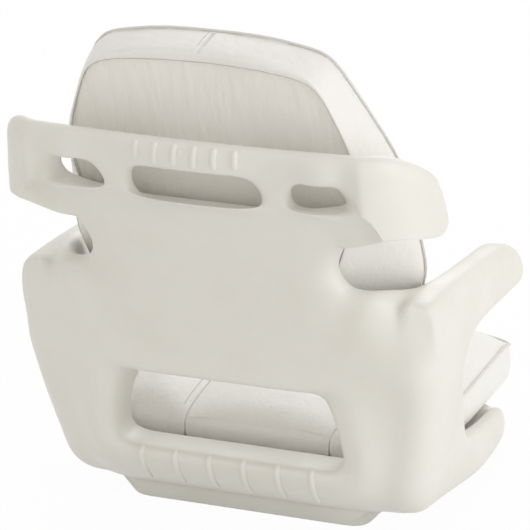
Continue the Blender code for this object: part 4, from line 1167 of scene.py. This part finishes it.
def vinyl(name, colours, ripple, roughness):
    """Sewn marine vinyl: pebbled grain, soft ripples along one direction, faint soiling and painted
    shade in its creases and seams.
    """
    material, tree, shader = started(name)
    colour = mottled(tree, 9, 0.3, 0.75, colours)
    inputs = {"Vector": place_at(tree), "Scale": 900.0, "Randomness": 0.95}
    pebbles = node(tree, "ShaderNodeTexVoronoi", inputs, feature="DISTANCE_TO_EDGE")
    cells = pebbles.outputs["Distance"]
    valley = ranged(tree, cells, 0.0, 0.12, 0.30, 0.0)
    colour = tinted(tree, valley, colour, tuple(0.82 * part for part in colours[1]))
    # Painted shade: darker where the cover dips into creases and seams
    colour = marked_and_shaded(tree, colour, pointiness(tree), 0.48, 0.42, 0.5, VINYL_CREASE_SHADE_COLOUR)
    soil = noise_at(tree, 30, 4, 0.6)
    soiled = ranged(tree, soil, 0.3, 0.7, roughness - 0.06, roughness + 0.08)
    ripples = noise_at(tree, 1.0, 3, 0.55, place_at(tree, ripple), 1.4)
    creases = bumped(tree, ripples, 0.0030, 0.42)
    crush = bumped(tree, noise_at(tree, 120, 4, 0.6, None, 0.8), 0.0009, 0.35, creases)
    grain = bumped(tree, ranged(tree, cells, 0.0, 0.22), 0.00018, 0.55, crush)
    feed(shader, {"Base Color": colour, "Roughness": soiled, "Normal": grain,
                  "Specular IOR Level": 0.40})
    return material


def thread(name, colour):
    """Twisted sewing thread."""
    material, tree, shader = started(name)
    slanted = place_at(tree, turn=(0.5, 0.6, 0.4))
    inputs = {"Vector": slanted, "Scale": 520.0, "Distortion": 1.5}
    twist = node(tree, "ShaderNodeTexWave", inputs).outputs[1]
    shaded = tuple(0.7 * part for part in colour)
    twisted = tinted(tree, ranged(tree, twist, 0.2, 0.8), colour, shaded)
    feed(shader, {"Base Color": twisted, "Roughness": 0.7,
                  "Normal": bumped(tree, twist, 0.0002, 0.6)})
    return material


def metal(name, colours, roughness, stretch):
    """Brushed or turned metal with faint stains."""
    material, tree, shader = started(name)
    brushed = noise_at(tree, 300, 4, 0.6, place_at(tree, stretch))
    dulled = ranged(tree, brushed, 0.2, 0.8, roughness - 0.08, roughness + 0.12)
    feed(shader, {"Base Color": mottled(tree, 120, 0.35, 0.7, colours), "Roughness": dulled,
                  "Normal": bumped(tree, brushed, 0.0002, 0.25), "Metallic": 1.0})
    return material


def plywood():
    """Sealed plywood: long grain on its faces and dark plies at its edges."""
    material, tree, shader = started("sealed_plywood_board")
    grain = noise_at(tree, 14, 6, 0.62, place_at(tree, (1.0, 9.0, 1.0)), 0.5)
    colour = tinted(tree, ranged(tree, grain, 0.3, 0.7), *WOOD_COLOURS)
    height = node(tree, "ShaderNodeSeparateXYZ", {0: place_at(tree)}).outputs[2]
    plies = maths(tree, "SINE", maths(tree, "MULTIPLY", height, 2600.0))
    colour = marked_and_shaded(tree, colour, plies, 0.2, 0.9, 0.35, PLY_COLOUR)
    feed(shader, {"Base Color": colour, "Roughness": ranged(tree, grain, 0.2, 0.8, 0.5, 0.68),
                  "Normal": bumped(tree, grain, 0.0006, 0.4)})
    return material


def make_shell(material):
    """The moulding, from the same lattice as the part, subdivided finely."""
    shell = new_piece("seat_shell", lattice_cage(shell_cells(), shell_point, shell_crease), material)
    smooth_over(shell, SHELL_LEVELS)
    ribs = rib_shapes(shell)
    cut_or_join(shell, plinth_shape(), "plinth block", "UNION")
    cut_or_join(shell, ribs, "rib rods", "UNION")
    cut_or_join(shell, drums(INSERT_BORES, COUNTERBORES), "wide bores", "DIFFERENCE")
    cut_or_join(shell, drums(SCREW_BORES), "narrow bores", "DIFFERENCE")
    settle(shell)
    shell.data.set_sharp_from_angle(angle=SHARP_TURN)
    dress(shell, "moulded_white_plastic", "shell")


def seam_crease(joint, joint_crease, seams):
    """Maker of the rule for how crisp a seat panel's seams are, in its top and beside its joint."""
    def rule(start, end):
        rows = (start[2], end[2])
        if start[0] == end[0] == joint and start[1] == end[1] == 0:
            return SEAM_END_CREASE_SHARE
        if rows == (2, 2) and start[0] == end[0] and start[0] in seams:
            return joint_crease
        if rows == (2, 2) and start[1] == end[1] == SEAT_LAST_LAYER:
            return SEAM_CREASE_SHARE
        return 0
    return rule


def wrinkle(point, kind, more=0):
    """Height of a cover's soft creases at a point, above or below 0."""
    height, waves, shift = kind
    spot = Vector((point.x * waves[0] + (shift + more), point.y * waves[1], point.z * waves[2]))
    return height * (noise.noise(spot) + 0.5 * noise.noise(spot * 2.1))


def cover(name, cage, skin, rule, slot, part, half=True):
    """A sewn cover: a coarse cage, rounded, made a plain mesh and pressed by its rule."""
    item = new_piece(name, cage, skin)
    smooth_over(item, CUSHION_LEVELS, half)
    settle(item)
    press(item, rule)
    return dress(item, slot, part)


def piping(name, path, across, skin, part, loop=False):
    """A round strip of piping along a path."""
    shape = bmesh.new()
    tube(shape, path, PIPING_RADIUS, PIPING_SIDES, across, loop)
    dress(new_piece(name, shape, skin), "piping_vinyl", part)


def make_seat_cushion(skin, welt, yarn):
    """The seat cushion: centre panel, two bolsters, piping and stitches."""
    def centre_rule(point, normal):
        shift = wrinkle(point, CENTRE_WRINKLES) * max(0, normal.z)
        if normal.y > REAR_FACING:
            shift += groove(point.z - REAR_SEAM_Z, REAR_SEAM_WIDTH, REAR_SEAM_DEPTH)
        return shift

    cells = block_cells(CENTRE_COLUMNS, SEAT_LAST_LAYER, 2)
    crease = seam_crease(CENTRE_COLUMNS, SEAM_END_CREASE_SHARE, (CENTRE_COLUMNS,))
    cage = lattice_cage(cells, seat_centre_point, crease)
    centre = cover("seat_centre_panel", cage, skin, centre_rule, "white_vinyl", "seat_cushion_centre")
    cells = block_cells(BOLSTER_COLUMNS, SEAT_LAST_LAYER, 2)
    crease = seam_crease(0, SEAM_CREASE_SHARE, (0, BOLSTER_COLUMNS))
    sides = []
    for name, side in (("left", 1), ("right", -1)):
        def bolster_rule(point, normal):
            return wrinkle(point, BOLSTER_WRINKLES, side) * max(0, normal.z)

        cage = lattice_cage(cells, bolster_point(side), crease, half=False)
        if side < 0:
            bmesh.ops.reverse_faces(cage, faces=cage.faces)
        bolster = cover("seat_side_panel_" + name, cage, skin, bolster_rule, "white_vinyl",
                        "seat_bolster_" + name, half=False)
        sides.append(bolster)
    piping("seat_welt", seat_piping_path(sides[0], centre), UPWARDS, welt, "seat_cushion_piping")
    for item, side in zip(sides, (1, -1)):
        inner = bolster_point(side)
        seam = [inner(0, layer, 2) for layer in range(SEAT_LAST_LAYER + 1)]
        seam = spline(seam, SEAM_STEPS, False)
        aside = Vector((side * SEAM_STITCH_INSET, 0, STITCH_LIFT))
        path = [point + aside for point in seam[slice(*SEAM_ENDS)]]
        stitches(item.name + "_stitching", item, [path], yarn)


def seat_piping_path(bolster, centre):
    """Line of the piping round the sides and front of the seat cushion."""
    last = SEAT_LAST_LAYER
    outer = bolster_point(1)
    side = [outer(BOLSTER_COLUMNS, layer, 2) for layer in range(1, last + 1)]
    corner = [outer(column, last, 2) for column in range(BOLSTER_COLUMNS, 0, -1)]
    guides = between(side)[:-1] + between(corner)
    path = edge_path(bolster, guides)
    front = [seat_centre_point(column, last, 2) for column in range(CENTRE_COLUMNS - 1, -1, -1)]
    path += edge_path(centre, between(front)[:-1])
    path = thinned(path)
    return path + mirror_image(path)


def pocket_rim(depth):
    """Control points of the pocket's rim, all the way round."""
    top = BACK_LAST_ROW - 1
    side = [pocket_point(column, 1, depth) for column in range(POCKET_COLUMNS + 1)]
    side += [pocket_point(POCKET_COLUMNS, row, depth) for row in range(2, top + 1)]
    side += [pocket_point(column, top, depth) for column in range(POCKET_COLUMNS - 1, -1, -1)]
    return side + mirror_image(side[1:-1])


def make_back_cushion(skin, lining, welt, yarn):
    """The back cushion: pad with its boxing, rear panel, piping and stitches."""
    top = back_frame(0, BACK_BOTTOM + BACK_HEIGHT * BACK_JOIN_SHARE, 0).z

    def pad_rule(point, normal):
        shift = wrinkle(point, PAD_WRINKLES)
        if point.z > top and normal.z > TOP_FACING:
            shift += groove(point.x, JOIN_WIDTH, JOIN_DEPTH)
        return shift

    def panel_rule(point, normal):
        return wrinkle(point, PANEL_WRINKLES) * max(0, normal.y)

    cells = block_cells(BACK_COLUMNS, 2, BACK_LAST_ROW)
    pocket = {(column, 0, row) for column in range(POCKET_COLUMNS)
              for row in range(1, BACK_LAST_ROW - 1)}
    cage = lattice_cage(cells - pocket, pad_point, pad_crease)
    pad = cover("back_pad", cage, skin, pad_rule, "white_vinyl", "back_cushion_pad")
    plate = block_cells(POCKET_COLUMNS, 1, BACK_LAST_ROW - 2)
    cage = lattice_cage(plate, panel_point, plate_crease)
    cover("back_lining_panel", cage, lining, panel_rule, "grained_vinyl", "back_cushion_rear_panel")
    guides = [pad_point(column, 2, 0) for column in range(BACK_COLUMNS)]
    guides += [pad_point(BACK_COLUMNS, 2, row) for row in range(BACK_LAST_ROW + 1)]
    guides += [pad_point(column, 2, BACK_LAST_ROW) for column in range(BACK_COLUMNS - 1, 0, -1)]
    path = thinned(edge_path(pad, between(guides)[1:]))
    path += mirror_image(path)
    piping("back_welt", path, SQUARE_TO_BACK, welt, "back_cushion_piping", loop=True)
    rim = spline(pocket_rim(0), POCKET_STEPS, True)
    stitches("back_seam_stitching", pad, [rim + rim[:1]], yarn)
    near, far = JOIN_STITCH_ENDS
    foot = back_frame(0, BACK_BOTTOM + BACK_HEIGHT, near)
    head = back_frame(0, BACK_BOTTOM + BACK_HEIGHT - BACK_FRONT_FALL, BACK_TOP_DEPTH - far)
    paths = []
    for offset in (-JOIN_STITCH_INSET, JOIN_STITCH_INSET):
        paths.append([Vector((offset, end.y, end.z + STITCH_LIFT)) for end in (foot, head)])
    stitches("boxing_join_stitching", pad, paths, yarn)


def finish_fixings():
    """Materials of the fixings and boards, whose shapes are right as they are."""
    kinds = {
        "insert": metal("turned_brass", BRASS_COLOURS, 0.32, (1, 1, 8)),
        "seat_screw": metal("screw_steel", STEEL_COLOURS, 0.30, (1, 1, 6)),
        "seat_washer": metal("washer_zinc", ZINC_COLOURS, 0.40, (6, 6, 1)),
        "seat_board": plywood(),
    }
    kinds["back_board"] = kinds["seat_board"]
    for name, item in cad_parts.items():
        for start, material in kinds.items():
            if name.startswith(start):
                for slot in item.material_slots:
                    slot.material = material


def seen_white(tree, share, shader, kind, end):
    """Let a share of a shader give way to plain white."""
    white = node(tree, kind, {"Color": WHITE, "Strength": 1.0})
    both = node(tree, "ShaderNodeMixShader", {0: share, 1: shader.outputs[0], 2: white.outputs[0]})
    feed(tree.nodes[end], {"Surface": both.outputs[0]})


def floor_material():
    """Pale floor: nearly white where it is seen, and plain to the light, with a faint shadow."""
    material, tree, shader = started("pale_floor")
    speckle = ranged(tree, noise_at(tree, 40, 3), 0.3, 0.7)
    feed(shader, {"Base Color": tinted(tree, speckle, *FLOOR_COLOURS), "Roughness": 0.9,
                  "Specular IOR Level": 0.1})
    share = maths(tree, "MULTIPLY", seen_directly(tree), FLOOR_WHITE_SHARE)
    seen_white(tree, share, shader, "ShaderNodeEmission", "Material Output")
    return material


def make_room():
    """Floor, world and lamps."""
    shape = bmesh.new()
    bmesh.ops.create_circle(shape, cap_ends=True, segments=FLOOR_SIDES, radius=FLOOR_RADIUS)
    floor = new_piece("floor", shape, floor_material())
    world = bpy.data.worlds.new("studio")
    world.use_nodes = True
    scene.world = world
    tree = world.node_tree
    soft = tree.nodes["Background"]
    feed(soft, {"Color": WORLD_COLOUR, "Strength": WORLD_STRENGTH})
    seen_white(tree, seen_directly(tree), soft, "ShaderNodeBackground", "World Output")
    for name, place, size, power in LAMPS:
        lamp = bpy.data.lights.new(name, "AREA")
        lamp.shape = "DISK"
        lamp.size = size
        lamp.energy = power
        lamp.color = LAMP_COLOUR
        holder = bpy.data.objects.new(name, lamp)
        scene.collection.objects.link(holder)
        holder.location = place
        holder.rotation_euler = (Vector(place) - Vector(LOOK_AT)).to_track_quat("Z", "Y").to_euler()


def make_camera():
    """Camera at the photograph's angle."""
    data = bpy.data.cameras.new("camera")
    data.sensor_width = SENSOR
    data.lens = LENS
    data.clip_end = 100
    camera = bpy.data.objects.new("camera", data)
    scene.collection.objects.link(camera)
    turn = math.radians(CAMERA_AZIMUTH)
    rise = math.radians(CAMERA_ELEVATION)
    back = Vector((math.sin(turn) * math.cos(rise), -math.cos(turn) * math.cos(rise), math.sin(rise)))
    camera.location = CAMERA_PLACE
    camera.rotation_euler = back.to_track_quat("Z", "Y").to_euler()
    scene.camera = camera


make_camera()
make_room()
make_shell(plastic())
white_vinyl = vinyl("white_vinyl_skin", VINYL_COLOURS, (60, 60, 22), 0.44)
grained_vinyl = vinyl("grained_vinyl_skin", LINING_COLOURS, (120, 30, 22), 0.50)
piping_vinyl = vinyl("welt_vinyl_skin", PIPING_COLOURS, (160, 160, 160), 0.42)
seam_thread = thread("seam_thread", YARN_COLOUR)
make_seat_cushion(white_vinyl, piping_vinyl, seam_thread)
make_back_cushion(white_vinyl, grained_vinyl, piping_vinyl, seam_thread)
finish_fixings()

scene.view_settings.view_transform = "Standard"
bpy.context.view_layer.update()
